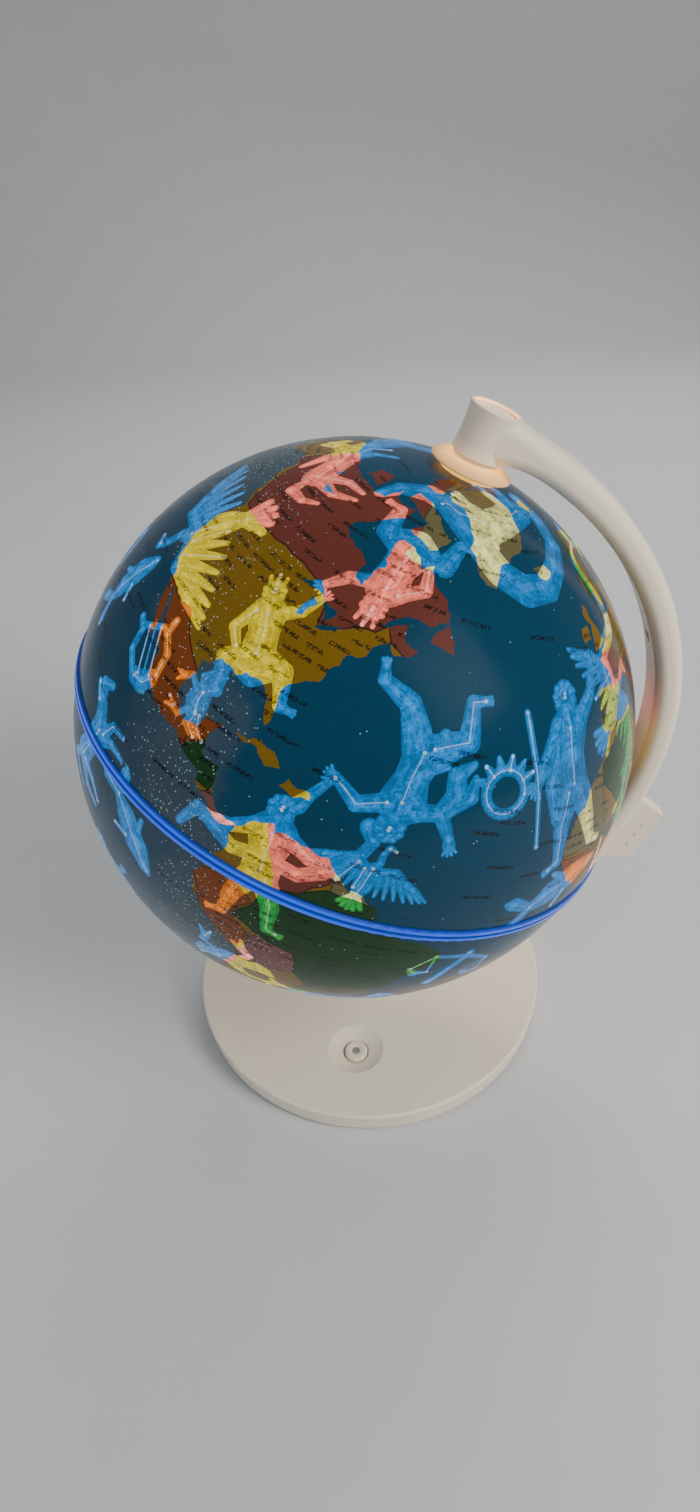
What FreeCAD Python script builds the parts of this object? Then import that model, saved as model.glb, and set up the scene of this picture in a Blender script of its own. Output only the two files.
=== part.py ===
"""Celestial globe on a tilted arm: a lit twin-hemisphere ball that turns on a fixed axle, held by a hollow
C-shaped arm over a round weighted base with a push button. All sizes are in millimetres.

Two frames are used. The stand frame has +Z up and its origin on the table under the centre of the base. The
globe frame has its origin at the ball's centre, +Z along the axle to the north pole and the arm on its +X side.
"""

import FreeCAD, Part

import math
import os

Vector = FreeCAD.Vector

# ---- Driving dimensions -------------------------------------------------------------------------------------

# Ball and tilt
BALL_R = 100.0
BALL_WALL = 1.6
TILT = 23.5
BALL_CENTRE_Z = 150.0
POLE_HOLE_R = 9.0

# Equator ring that joins the two hemispheres
BAND_HALF_HEIGHT = 2.2
BAND_PROUD = 0.9
BAND_GROOVE_HALF = 0.45
BAND_GROOVE_DEPTH = 0.7
BAND_FLANGE_HALF = 6.0
BAND_FLANGE_THICK = 1.8

# Pole collars and their bearings
COLLAR_R = 13.2
COLLAR_RIM_Z = 102.0
COLLAR_LIP = 0.4
COLLAR_LIP_HALF = 0.55
COLLAR_STEM_R = 9.3
COLLAR_STEM_Z = 98.0
COLLAR_STEM_TOP = 100.9
COLLAR_DOME_R = 11.2
COLLAR_DOME_Z = 103.6
COLLAR_SHOULDER_R = 8.9
COLLAR_TOP = 104.2
COLLAR_SPIGOT_R = 8.95
COLLAR_SPIGOT_END = 95.0
BUSH_R = 5.98
BUSH_BORE_R = 4.05
BUSH_FLANGE_R = 7.0
BUSH_FLANGE_TOP = 104.8
CLIP_R = 13.0
CLIP_BASE = 95.2
WASHER_R = 7.4
WASHER_TOP = 105.75
WASHER_GAP = 0.05

# Axle and hubs
AXLE_R = 4.0
AXLE_BORE_R = 3.0
AXLE_END = 112.0
HUB_BASE = 105.8
HUB_BASE_R = 8.25
HUB_TOP = 120.2
HUB_TOP_R = 8.5
HUB_WAIST_R = 7.85
HUB_EDGE = 0.35
HUB_FLOOR = 108.6
HUB_CAVITY_R = 6.3
HUB_LEDGE = 118.0
NUT_FLATS = 10.0
NUT_TOP = 111.4
CAP_R = 7.1
CAP_TOP = 119.1
CAP_EDGE = 0.3
CAP_SKIRT_DEPTH = 1.5
FIT_GAP = 0.02

# Arm, a hollow bow in the globe frame's XZ plane, open toward the ball and closed there by a long lid
ARM_R = 113.4
ARM_HALF_THICK = 4.8
ARM_HALF_WIDTH = 9.2
ARM_CORNER = 4.1
ARM_WALL = 1.8
ARM_VOID_CORNER = 2.3
LID_HALF = 6.2
LID_GAP = 0.08
ARM_START = 2.0
ARM_VOID_START = 16.0
LID_END_GAP = 0.1
# Toward a hub the arm narrows to the hub's width and grows deeper: polar angle, half width, inner and outer radius.
ARM_END_SECTIONS = ((1.0, 7.5, 106.1, 119.4), (3.4, 7.8, 106.3, 119.35), (5.0, 8.0, 107.1, 119.0),
                    (7.0, 8.3, 107.9, 118.6), (9.5, 8.7, 108.4, 118.3), (12.5, 9.0, 108.58, 118.22),
                    (16.0, 9.2, 108.6, 118.2))
COVER_SCREW_ANGLES = (22.0, 50.0, 80.0, 112.0, 147.0)
BOSS_R = 2.8
SCREW_R = 1.15
SCREW_HOLE_R = 1.2
SCREW_HEAD_R = 2.2
SCREW_HEAD_H = 1.5
DRIVE_SLOT_HALF = 0.3
DRIVE_SLOT_REACH = 1.3
DRIVE_SLOT_DEPTH = 0.6
CABLE_R = 1.4
CABLE_OFFSET = 4.6
CABLE_FLOOR_Z = 6.3
LAMP_CABLE_START = 2.6
LAMP_CABLE_ENDS = ((7.0, 0.0), (7.0, -27.0))
CHARGE_CABLE_START = 98.0
CHARGE_CABLE_LEAD = 0.4
CHARGE_CABLE_Z = -9.0
CHARGE_CABLE_ENDS = ((-5.0, -27.0),)

# Pod on the outside of the arm, a trapezium seen along Y
POD_OUTER_X = 133.0
POD_INNER_X = 114.0
POD_TOP_Z = 1.6
POD_BOTTOM_Z = -23.4
POD_DRAFT = 0.34
POD_HALF_WIDTH = 2.9
POD_WALL = 1.0
POD_EDGE = 0.8
POD_PIP_R = 0.9
POD_PIP_H = 0.35
POD_PIP_STEP = 5.5
SOCKET_LONG = 8.94
SOCKET_SHORT = 3.2
SOCKET_DEPTH = 7.0
CHARGE_BOARD_W = 8.0
CHARGE_BOARD_T = 0.25
POD_SCREW_ANGLES = (89.6, 101.2)
POD_SCREW_TIP = 122.5
POD_PILLAR_R = 2.3
POD_PIP_INSET = 5.2

# Lamp on the axle
LAMP_FLATS = 17.0
LAMP_HALF = 21.0
LED_BOARD_W = 8.0
LED_BOARD_T = 1.0
LED_BOARD_HALF = 19.0
LED_SIZE = 3.0
LED_T = 0.9
LED_PITCH = 12.0
DIFFUSER_R = 16.0
DIFFUSER_WALL = 1.2
DIFFUSER_HALF = 25.0

# Base, in the stand frame
BASE_R = 78.0
BASE_FOOT_R = 77.0
BASE_TOP = 11.2
BASE_BOTTOM = 1.2
BASE_CEILING = 9.0
BASE_TOP_EDGE = 1.0
BASE_BOTTOM_EDGE = 1.6
BASE_INNER_R = 74.4
PLATE_R = 74.2
PLATE_TOP = 3.2
PLATE_SCREW_RADIUS = 70.0
PLATE_SCREW_COUNT = 4
BASE_BOSS_R = 3.2
PAD_R = 62.0
PAD_H = 1.6
PAD_EDGE = 0.5
BALLAST_INNER = 46.0
BALLAST_OUTER = 66.0
BALLAST_BOTTOM = 3.3
BALLAST_T = 4.0
BALLAST_GAP_DEG = 64.0

# Push button in its dish
BUTTON_RADIUS_POS = 46.4
BUTTON_ANGLE = -98.0
DISH_R = 11.8
DISH_DEPTH = 2.9
DISH_PAD_R = 13.6
DISH_PAD_BOTTOM = 7.2
BUTTON_R = 4.7
BUTTON_HOLE_R = 4.85
BUTTON_MOUTH_R = 5.8
BUTTON_MOUTH_DEPTH = 0.6
BUTTON_TOP = 10.2
BUTTON_FLANGE_R = 6.3
BUTTON_FLANGE_BOTTOM = 6.3
BUTTON_FLANGE_TOP = 7.1
BUTTON_EDGE = 0.8
LENS_R = 1.7
LENS_TOP = 9.85
LENS_BOTTOM = 8.9
PLUNGER_R = 1.5
PLUNGER_BOTTOM = 5.45
BOARD_BOTTOM = 3.4
BOARD_T = 1.2
SWITCH_HALF = 3.0
SWITCH_TOP = 5.4

# Battery cell behind the neck
CELL_HALF_X = 15.0
CELL_FRONT = 17.0
CELL_BACK = 41.0
CELL_TOP = 8.0
LEAD_R = 0.6
LEAD_XS = (11.0, 13.0)
LEAD_END_Y = -27.0

# Neck between base and arm
NECK_FOOT_R = 17.0
NECK_WAIST_R = 11.6
NECK_TOP_R = 12.6
NECK_TOP = 35.6
NECK_WAIST_RISE = 0.54
NECK_SCREW_CIRCLE = 12.5
NECK_SCREW_R = 1.4
NECK_SCREW_TOP = 21.0
ARM_BOLT_X = 7.5
ARM_BOLT_R = 1.5
ARM_BOLT_SEAT = 24.0
ARM_BOLT_TOP = 36.0
CABLE_HOLE_R = 2.1

DRIVE_SLOTS = ((DRIVE_SLOT_HALF, DRIVE_SLOT_REACH), (DRIVE_SLOT_REACH, DRIVE_SLOT_HALF))
OVERCUT = 1.0
KNUCKLE_SWELL = 1.04


# ---- Small shape helpers ------------------------------------------------------------------------------------


def cylinder(radius, z0, z1, x=0.0, y=0.0):
    return Part.makeCylinder(radius, z1 - z0, Vector(x, y, z0))


def tube(inner, outer, z0, z1, x=0.0, y=0.0):
    hole = cylinder(inner, z0 - OVERCUT, z1 + OVERCUT, x, y)
    return cylinder(outer, z0, z1, x, y).cut(hole)


def box(x0, x1, y0, y1, z0, z1):
    return Part.makeBox(x1 - x0, y1 - y0, z1 - z0, Vector(x0, y0, z0))


def fuse(shapes):
    first, rest = shapes[0], shapes[1:]
    return first.multiFuse(rest).removeSplitter() if rest else first


def hexagon(flats, z0, z1):
    radius = flats / math.sqrt(3.0)
    corners = [Vector(radius * math.cos(math.radians(60 * i)), radius * math.sin(math.radians(60 * i)), z0)
               for i in range(7)]
    return Part.Face(Part.makePolygon(corners)).extrude(Vector(0, 0, z1 - z0))


def edges_at_height(shape, z, radius):
    """The circular edges of one radius that lie at height z."""
    return [e for e in shape.Edges
            if isinstance(e.Curve, Part.Circle)
            and abs(e.Curve.Center.z - z) < 1e-6 and abs(e.Curve.Radius - radius) < 1e-6]


def rounded_rectangle(x0, x1, y0, y1, radius):
    """A face in the XY plane with four equal round corners."""
    plain = Part.makeBox(x1 - x0, y1 - y0, 1.0, Vector(x0, y0, 0.0))
    uprights = [e for e in plain.Edges if abs(e.Vertexes[0].Z - e.Vertexes[-1].Z) > 0.5]
    rounded = plain.makeFillet(radius, uprights)
    return [f for f in rounded.Faces if f.CenterOfMass.z < 1e-6][0]


def knuckle(radius, point):
    """A ball at a wire's bend, a little fuller than the wire so that the two blend cleanly."""
    return Part.makeSphere(radius * KNUCKLE_SWELL, point)


def rod(points, radius):
    """A round wire through points, with a ball at each bend."""
    pieces = []
    for a, b in zip(points, points[1:]):
        pieces.append(Part.makeCylinder(radius, (b - a).Length, a, b - a))
    for p in points[1:-1]:
        pieces.append(knuckle(radius, p))
    return fuse(pieces)


def to_stand(shape):
    """Moves a shape from the globe frame into the stand frame."""
    placed = shape.copy()
    placed.Placement = FreeCAD.Placement(
        Vector(0, 0, BALL_CENTRE_Z), FreeCAD.Rotation(Vector(0, 1, 0), TILT))
    return placed


def to_globe(shape):
    """Moves a shape from the stand frame into the globe frame."""
    placed = shape.copy()
    placed.Placement = FreeCAD.Placement(
        Vector(0, 0, BALL_CENTRE_Z), FreeCAD.Rotation(Vector(0, 1, 0), TILT)).inverse()
    return placed


def southward(shape):
    """The same piece at the other pole."""
    return shape.mirror(Vector(0, 0, 0), Vector(0, 0, 1))


def at_polar(shape, angle):
    """Swings a shape about Y from the +X direction to a polar angle measured from the north pole."""
    turned = shape.copy()
    turned.rotate(Vector(0, 0, 0), Vector(0, 1, 0), angle - 90.0)
    return turned


def bow(face, start, end):
    """Sweeps a face that stands in the XY plane round the ball, between two polar angles."""
    return at_polar(face, start).revolve(Vector(0, 0, 0), Vector(0, 1, 0), end - start)


def on_circle(radius, count, first=0.0):
    for i in range(count):
        angle = math.radians(first + 360.0 * i / count)
        yield radius * math.cos(angle), radius * math.sin(angle)


# ---- Ball ---------------------------------------------------------------------------------------------------


def hemisphere():
    shell = Part.makeSphere(BALL_R).cut(Part.makeSphere(BALL_R - BALL_WALL))
    south_side = box(-2 * BALL_R, 2 * BALL_R, -2 * BALL_R, 2 * BALL_R, -2 * BALL_R, BAND_HALF_HEIGHT)
    return shell.cut(south_side).cut(cylinder(POLE_HOLE_R, 0, 2 * BALL_R))


def equator_ring():
    inner = BALL_R - BALL_WALL
    bead = tube(inner, BALL_R + BAND_PROUD, -BAND_HALF_HEIGHT, BAND_HALF_HEIGHT)
    rims = edges_at_height(bead, BAND_HALF_HEIGHT, BALL_R + BAND_PROUD)
    rims += edges_at_height(bead, -BAND_HALF_HEIGHT, BALL_R + BAND_PROUD)
    bead = bead.makeFillet(BAND_PROUD * 0.8, rims)
    groove = tube(BALL_R + BAND_PROUD - BAND_GROOVE_DEPTH, BALL_R + 2 * BAND_PROUD,
                  -BAND_GROOVE_HALF, BAND_GROOVE_HALF)
    flange = tube(inner - BAND_FLANGE_THICK, inner, -BAND_FLANGE_HALF, BAND_FLANGE_HALF)
    inside_ball = Part.makeSphere(inner - FIT_GAP)
    middle = tube(inner - BAND_FLANGE_THICK, inner, -BAND_HALF_HEIGHT, BAND_HALF_HEIGHT)
    return fuse([bead.cut(groove), flange.common(inside_ball), middle])


def pole_collar():
    """A narrow stem on the ball that flares to a thin round rim, under a domed top that rises to the hub."""
    stem = Vector(COLLAR_STEM_R, 0, COLLAR_STEM_Z)
    neck = Vector(COLLAR_STEM_R, 0, COLLAR_STEM_TOP)
    under = Vector(COLLAR_R - COLLAR_LIP, 0, COLLAR_RIM_Z - COLLAR_LIP_HALF)
    lip = Vector(COLLAR_R, 0, COLLAR_RIM_Z)
    over = Vector(COLLAR_R - COLLAR_LIP, 0, COLLAR_RIM_Z + COLLAR_LIP_HALF)
    dome = Vector(COLLAR_DOME_R, 0, COLLAR_DOME_Z)
    shoulder = Vector(COLLAR_SHOULDER_R, 0, COLLAR_TOP)
    foot, top = Vector(0, 0, COLLAR_STEM_Z), Vector(0, 0, COLLAR_TOP)
    outline = [Part.makeLine(foot, stem), Part.makeLine(stem, neck), Part.makeLine(neck, under),
               Part.Arc(under, lip, over).toShape(),
               Part.Arc(over, dome, shoulder).toShape(), Part.makeLine(shoulder, top), Part.makeLine(top, foot)]
    rim = Part.Face(Part.Wire(outline)).revolve(Vector(0, 0, 0), Vector(0, 0, 1), 360)
    rim = rim.cut(Part.makeSphere(BALL_R + FIT_GAP))
    spigot = cylinder(COLLAR_SPIGOT_R, COLLAR_SPIGOT_END, BALL_R + OVERCUT)
    bore = cylinder(BUSH_R + FIT_GAP, COLLAR_SPIGOT_END - OVERCUT, COLLAR_TOP + OVERCUT)
    return fuse([rim, spigot]).cut(bore)


def pole_bush():
    body = cylinder(BUSH_R, COLLAR_SPIGOT_END, COLLAR_TOP)
    flange = cylinder(BUSH_FLANGE_R, COLLAR_TOP, BUSH_FLANGE_TOP)
    bore = cylinder(BUSH_BORE_R, COLLAR_SPIGOT_END - OVERCUT, BUSH_FLANGE_TOP + OVERCUT)
    return fuse([body, flange]).cut(bore)


def collar_clip():
    ring = tube(COLLAR_SPIGOT_R + FIT_GAP, CLIP_R, CLIP_BASE, BALL_R)
    return ring.common(Part.makeSphere(BALL_R - BALL_WALL - FIT_GAP))


# ---- Axle and hubs ------------------------------------------------------------------------------------------


def felt_washer():
    return tube(BUSH_BORE_R, WASHER_R, BUSH_FLANGE_TOP + WASHER_GAP, WASHER_TOP)


def axle_nut():
    hole = cylinder(AXLE_R + FIT_GAP, HUB_FLOOR - OVERCUT, NUT_TOP + OVERCUT)
    return hexagon(NUT_FLATS, HUB_FLOOR, NUT_TOP).cut(hole)


def waisted(base_r, waist_r, top_r, z0, z1, rise):
    """A solid of revolution whose flank is one hollow arc; rise places the waist between z0 and z1."""
    foot = Vector(base_r, 0, z0)
    waist = Vector(waist_r, 0, z0 + rise * (z1 - z0))
    top = Vector(top_r, 0, z1)
    outline = [Part.makeLine(Vector(0, 0, z0), foot), Part.Arc(foot, waist, top).toShape(),
               Part.makeLine(top, Vector(0, 0, z1)), Part.makeLine(Vector(0, 0, z1), Vector(0, 0, z0))]
    return Part.Face(Part.Wire(outline)).revolve(Vector(0, 0, 0), Vector(0, 0, 1), 360)


def hub_body(grow=0.0):
    return waisted(HUB_BASE_R + grow, HUB_WAIST_R + grow, HUB_TOP_R + grow, HUB_BASE, HUB_TOP, 0.5)


def hub_hollow():
    cavity = cylinder(HUB_CAVITY_R, HUB_FLOOR, HUB_TOP + OVERCUT)
    seat = cylinder(CAP_R + FIT_GAP, HUB_LEDGE, HUB_TOP + OVERCUT)
    return fuse([cavity, seat, cylinder(AXLE_R + FIT_GAP, HUB_BASE - OVERCUT, HUB_FLOOR + OVERCUT)])


def hub_cap():
    lid = cylinder(CAP_R, HUB_LEDGE, CAP_TOP)
    lid = lid.makeFillet(CAP_EDGE, edges_at_height(lid, CAP_TOP, CAP_R))
    skirt = tube(HUB_CAVITY_R - 0.9, HUB_CAVITY_R - 0.05, HUB_LEDGE - CAP_SKIRT_DEPTH, HUB_LEDGE + 0.2)
    return fuse([lid, skirt])


# ---- Arm ----------------------------------------------------------------------------------------------------


def arm_face():
    return rounded_rectangle(ARM_R - ARM_HALF_THICK, ARM_R + ARM_HALF_THICK,
                             -ARM_HALF_WIDTH, ARM_HALF_WIDTH, ARM_CORNER)


def arm_void_face():
    inset_thick = ARM_HALF_THICK - ARM_WALL
    inset_width = ARM_HALF_WIDTH - ARM_WALL
    return rounded_rectangle(ARM_R - inset_thick, ARM_R + inset_thick,
                             -inset_width, inset_width, ARM_VOID_CORNER)


def arm_solid():
    """The arm's full outside form, used to trim the pieces that seat against it."""
    return bow(arm_face(), ARM_START, 180.0 - ARM_START)


def lid_window(grow):
    """The slot in the arm's inner wall that the lid fills."""
    low = ARM_R - 2 * ARM_HALF_THICK
    half = LID_HALF + grow
    return Part.makePlane(ARM_R - ARM_HALF_THICK + ARM_WALL - low, 2 * half, Vector(low, -half, 0))


def arm_shell_face():
    return arm_face().cut(arm_void_face()).cut(lid_window(LID_GAP))


def arm_lid_face():
    return arm_face().cut(arm_void_face()).common(lid_window(0.0))


def arm_end():
    """The arm's solid end, lofted through its narrowing sections into the hub."""
    wires = []
    for angle, half_width, inner, outer in ARM_END_SECTIONS:
        section = rounded_rectangle(inner, outer, -half_width, half_width, ARM_CORNER)
        wires.append(at_polar(section.OuterWire, angle))
    return Part.makeLoft(wires, True, False)


def screw_boss(inner, outer):
    return Part.makeCylinder(BOSS_R, outer - inner, Vector(inner, 0, 0), Vector(1, 0, 0))


def radial_hole(radius, inner, outer):
    return Part.makeCylinder(radius, outer - inner, Vector(inner, 0, 0), Vector(1, 0, 0))


def bow_of_faces(shape, start, end):
    return fuse([bow(face, start, end) for face in shape.Faces])


def arm_bolt_bosses():
    """Two upright bosses in the arm's channel, over the neck, in the globe frame."""
    low = BALL_CENTRE_Z - ARM_R - ARM_HALF_THICK + ARM_WALL / 2
    bosses = [cylinder(BOSS_R + 0.2, low, BALL_CENTRE_Z - ARM_R, side * ARM_BOLT_X) for side in (-1, 1)]
    return to_globe(Part.makeCompound(bosses))


def cable_holes(z0, z1):
    return [cylinder(CABLE_HOLE_R, z0, z1, 0, side * CABLE_OFFSET) for side in (-1, 1)]


def arm_outer_shell():
    channel = bow_of_faces(arm_shell_face(), ARM_VOID_START, 180.0 - ARM_VOID_START)
    hub = hub_body()
    hub = hub.makeFillet(HUB_EDGE, edges_at_height(hub, HUB_TOP, HUB_TOP_R))
    end = fuse([hub, arm_end()])
    pieces = [channel, end, southward(end)]
    for angle in COVER_SCREW_ANGLES:
        pieces.append(at_polar(screw_boss(ARM_R, ARM_R + ARM_HALF_THICK - ARM_WALL / 2), angle))
    pieces += arm_bolt_bosses().Solids
    shell = fuse(pieces)
    shell = shell.cut(hub_hollow()).cut(southward(hub_hollow()))
    for angle in COVER_SCREW_ANGLES:
        shell = shell.cut(at_polar(radial_hole(SCREW_HOLE_R, ARM_R - OVERCUT, ARM_R + 3.4), angle))
    # The lamp cable leaves the channel for the north hub's cavity.
    shell = shell.cut(cable_bow(CABLE_R + 0.4, CABLE_OFFSET, 0.5, ARM_VOID_START + 1.0))
    # The pod's wires pass through a window in the outer wall, and two screws hold the pod from inside.
    mid_z = (POD_TOP_Z + POD_BOTTOM_Z) / 2
    shell = shell.cut(box(ARM_R, POD_OUTER_X, -2.2, 2.2, mid_z - 6.0, mid_z + 4.0))
    for angle in POD_SCREW_ANGLES:
        shell = shell.cut(at_polar(radial_hole(SCREW_HOLE_R, ARM_R, POD_OUTER_X), angle))
    # Bolts and cables come up from the neck.
    drills = [cylinder(ARM_BOLT_R + 0.05, 0, ARM_BOLT_TOP + 0.5, side * ARM_BOLT_X) for side in (-1, 1)]
    drills += cable_holes(0, BALL_CENTRE_Z - ARM_R)
    return shell.cut(to_globe(Part.makeCompound(drills)))


def arm_inner_cover():
    start = ARM_VOID_START + LID_END_GAP
    cover = bow_of_faces(arm_lid_face(), start, 180.0 - start)
    bosses = [at_polar(screw_boss(ARM_R - ARM_HALF_THICK + ARM_WALL / 2, ARM_R), a) for a in COVER_SCREW_ANGLES]
    cover = fuse([cover] + bosses)
    for angle in COVER_SCREW_ANGLES:
        cover = cover.cut(at_polar(radial_hole(SCREW_HOLE_R + 0.2, ARM_R - 2 * ARM_HALF_THICK, ARM_R + 1), angle))
        seat = ARM_R - ARM_HALF_THICK + SCREW_HEAD_H + 0.2
        cover = cover.cut(at_polar(radial_hole(SCREW_HEAD_R + 0.2, ARM_R - 2 * ARM_HALF_THICK, seat), angle))
    return cover


def screw_along_x(x_head, x_tip, z=0.0, head_r=SCREW_HEAD_R):
    """A pan-head screw that points outward along +X, with a cross recess in its head."""
    head = Part.makeCylinder(head_r, SCREW_HEAD_H, Vector(x_head, 0, z), Vector(1, 0, 0))
    shank = Part.makeCylinder(SCREW_R, x_tip - x_head - SCREW_HEAD_H,
                              Vector(x_head + SCREW_HEAD_H, 0, z), Vector(1, 0, 0))
    slots = [box(x_head - OVERCUT, x_head + DRIVE_SLOT_DEPTH, -w, w, z - h, z + h) for w, h in DRIVE_SLOTS]
    return fuse([head, shank]).cut(fuse(slots))


def arm_cover_screws():
    x_head = ARM_R - ARM_HALF_THICK + 0.2
    return Part.makeCompound([at_polar(screw_along_x(x_head, ARM_R + 3.0), a) for a in COVER_SCREW_ANGLES])


def cable_bow(radius, offset, start, end):
    centre = Vector(ARM_R, offset, 0)
    face = Part.Face(Part.Wire(Part.makeCircle(radius, centre, Vector(0, 0, 1))))
    return bow(face, start, end)


def polar_point(angle, offset):
    a = math.radians(angle)
    return Vector(ARM_R * math.sin(a), offset, ARM_R * math.cos(a))


def stand_to_globe_point(point):
    placement = FreeCAD.Placement(Vector(0, 0, BALL_CENTRE_Z), FreeCAD.Rotation(Vector(0, 1, 0), TILT))
    return placement.inverse().multVec(point)


def cable_drop(offset, ends):
    """The run from the arm's lowest point down the neck and along the inside of the base."""
    points = [Vector(0, offset, BALL_CENTRE_Z - ARM_R), Vector(0, offset, CABLE_FLOOR_Z)]
    points += [Vector(x, y, CABLE_FLOOR_Z) for x, y in ends]
    return rod([stand_to_globe_point(p) for p in points], CABLE_R)


def button_centre():
    angle = math.radians(BUTTON_ANGLE)
    return BUTTON_RADIUS_POS * math.cos(angle), BUTTON_RADIUS_POS * math.sin(angle)


def lamp_cable():
    bottom = 180.0 - TILT
    first = polar_point(LAMP_CABLE_START, CABLE_OFFSET)
    pieces = [cable_bow(CABLE_R, CABLE_OFFSET, LAMP_CABLE_START, bottom)]
    pieces.append(knuckle(CABLE_R, first))
    pieces.append(rod([first, Vector(0, 0, AXLE_END + 3.0), Vector(0, 0, 5.0)], CABLE_R))
    pieces.append(knuckle(CABLE_R, polar_point(bottom, CABLE_OFFSET)))
    pieces.append(cable_drop(CABLE_OFFSET, LAMP_CABLE_ENDS))
    return fuse(pieces)


def charge_cable():
    bottom = 180.0 - TILT
    first = polar_point(CHARGE_CABLE_START + CHARGE_CABLE_LEAD, -CABLE_OFFSET)
    z = CHARGE_CABLE_Z
    pieces = [cable_bow(CABLE_R, -CABLE_OFFSET, CHARGE_CABLE_START, bottom)]
    pieces.append(knuckle(CABLE_R, first))
    pieces.append(rod([first, Vector(ARM_R + 0.4, 0, z), Vector(ARM_R + 7.4, 0, z)], CABLE_R))
    pieces.append(knuckle(CABLE_R, polar_point(bottom, -CABLE_OFFSET)))
    pieces.append(cable_drop(-CABLE_OFFSET, CHARGE_CABLE_ENDS))
    return fuse(pieces)


# ---- Pod on the arm -----------------------------------------------------------------------------------------


def pod_outline(shrink, x_out, x_in):
    """The pod's trapezium in the XZ plane, drawn in by shrink at its two ends."""
    reach = POD_OUTER_X - x_in
    gap = POD_OUTER_X - x_out
    points = [(x_out, POD_TOP_Z + gap * POD_DRAFT - shrink), (x_out, POD_BOTTOM_Z - gap * POD_DRAFT + shrink),
              (x_in, POD_BOTTOM_Z - reach * POD_DRAFT + shrink), (x_in, POD_TOP_Z + reach * POD_DRAFT - shrink)]
    return [Vector(x, 0, z) for x, z in points]


def pod_block(shrink, half_width, x_out, x_in):
    corners = pod_outline(shrink, x_out, x_in)
    face = Part.Face(Part.makePolygon(corners + corners[:1]))
    block = face.extrude(Vector(0, 2 * half_width, 0))
    block.translate(Vector(0, -half_width, 0))
    return block


def pod_middle():
    return (POD_TOP_Z + POD_BOTTOM_Z) / 2


def obround(long, short, x0, x1, z):
    """A prism along X with a section that is a stadium, long in Z."""
    half = (long - short) / 2
    middle = box(x0, x1, -short / 2, short / 2, z - half, z + half)
    ends = [Part.makeCylinder(short / 2, x1 - x0, Vector(x0, 0, z + s * half), Vector(1, 0, 0)) for s in (-1, 1)]
    return fuse([middle] + ends)


def pod_housing():
    block = pod_block(0.0, POD_HALF_WIDTH, POD_OUTER_X, POD_INNER_X)
    outer_edges = [e for e in block.Edges if max(v.X for v in e.Vertexes) > POD_OUTER_X - 0.01]
    block = block.makeFillet(POD_EDGE, outer_edges)
    hollow = pod_block(POD_WALL * 1.2, POD_HALF_WIDTH - POD_WALL, POD_OUTER_X - POD_WALL, POD_INNER_X - OVERCUT)
    pillars = [at_polar(radial_hole(POD_PILLAR_R, POD_INNER_X, POD_OUTER_X + 2.0), angle)
               for angle in POD_SCREW_ANGLES]
    housing = fuse([block.cut(hollow)] + [p.common(block) for p in pillars])
    for angle in POD_SCREW_ANGLES:
        housing = housing.cut(at_polar(radial_hole(SCREW_R + 0.03, ARM_R, POD_SCREW_TIP + 0.5), angle))
    pips = [Part.makeCylinder(POD_PIP_R, POD_PIP_H + 0.2,
                              Vector(POD_OUTER_X - POD_PIP_INSET, -POD_HALF_WIDTH - POD_PIP_H,
                                     pod_middle() + i * POD_PIP_STEP),
                              Vector(0, 1, 0)) for i in (-1, 0, 1)]
    housing = fuse([housing] + pips)
    mouth = obround(SOCKET_LONG + 0.1, SOCKET_SHORT + 0.1, POD_OUTER_X - 4.0, POD_OUTER_X + OVERCUT, pod_middle())
    return housing.cut(mouth).cut(arm_solid())


def charge_socket():
    z = pod_middle()
    x1 = POD_OUTER_X - 0.2
    x0 = x1 - SOCKET_DEPTH
    shell = obround(SOCKET_LONG, SOCKET_SHORT, x0, x1, z)
    bore = obround(SOCKET_LONG - 0.6, SOCKET_SHORT - 0.6, x0 + 0.8, x1 + OVERCUT, z)
    tongue = box(x0, x1 - 1.2, -0.35, 0.35, z - 3.3, z + 3.3)
    return fuse([shell.cut(bore), tongue])


def charge_board():
    z = pod_middle()
    side = SOCKET_SHORT / 2 + FIT_GAP
    inner_x = ARM_R + 9.0
    return box(inner_x, inner_x + CHARGE_BOARD_W, -side - CHARGE_BOARD_T, -side, z - 6.5, z + 6.5)


def pod_screws():
    x_head = ARM_R + ARM_HALF_THICK - ARM_WALL - SCREW_HEAD_H - 0.15
    return Part.makeCompound([at_polar(screw_along_x(x_head, POD_SCREW_TIP), a) for a in POD_SCREW_ANGLES])


# ---- Lamp ---------------------------------------------------------------------------------------------------


def round_axle(shape, index):
    turned = shape.copy()
    turned.rotate(Vector(0, 0, 0), Vector(0, 0, 1), 30.0 + 60.0 * index)
    return turned


def lamp_holder():
    return hexagon(LAMP_FLATS, -LAMP_HALF, LAMP_HALF).cut(cylinder(AXLE_R + FIT_GAP, -60, 60))


def led_boards():
    flat = LAMP_FLATS / 2
    board = box(flat, flat + LED_BOARD_T, -LED_BOARD_W / 2, LED_BOARD_W / 2, -LED_BOARD_HALF, LED_BOARD_HALF)
    return Part.makeCompound([round_axle(board, i) for i in range(6)])


def led_chips():
    flat = LAMP_FLATS / 2 + LED_BOARD_T
    half = LED_SIZE / 2
    chips = [box(flat, flat + LED_T, -half, half, row * LED_PITCH - half, row * LED_PITCH + half)
             for row in (-1, 0, 1)]
    return Part.makeCompound([round_axle(chip, i) for i in range(6) for chip in chips])


def lamp_diffuser():
    outside = cylinder(DIFFUSER_R, -DIFFUSER_HALF, DIFFUSER_HALF)
    inside = cylinder(DIFFUSER_R - DIFFUSER_WALL, -DIFFUSER_HALF - OVERCUT, DIFFUSER_HALF - DIFFUSER_WALL)
    return outside.cut(inside).cut(cylinder(AXLE_R + FIT_GAP, 0, 60))


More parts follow.
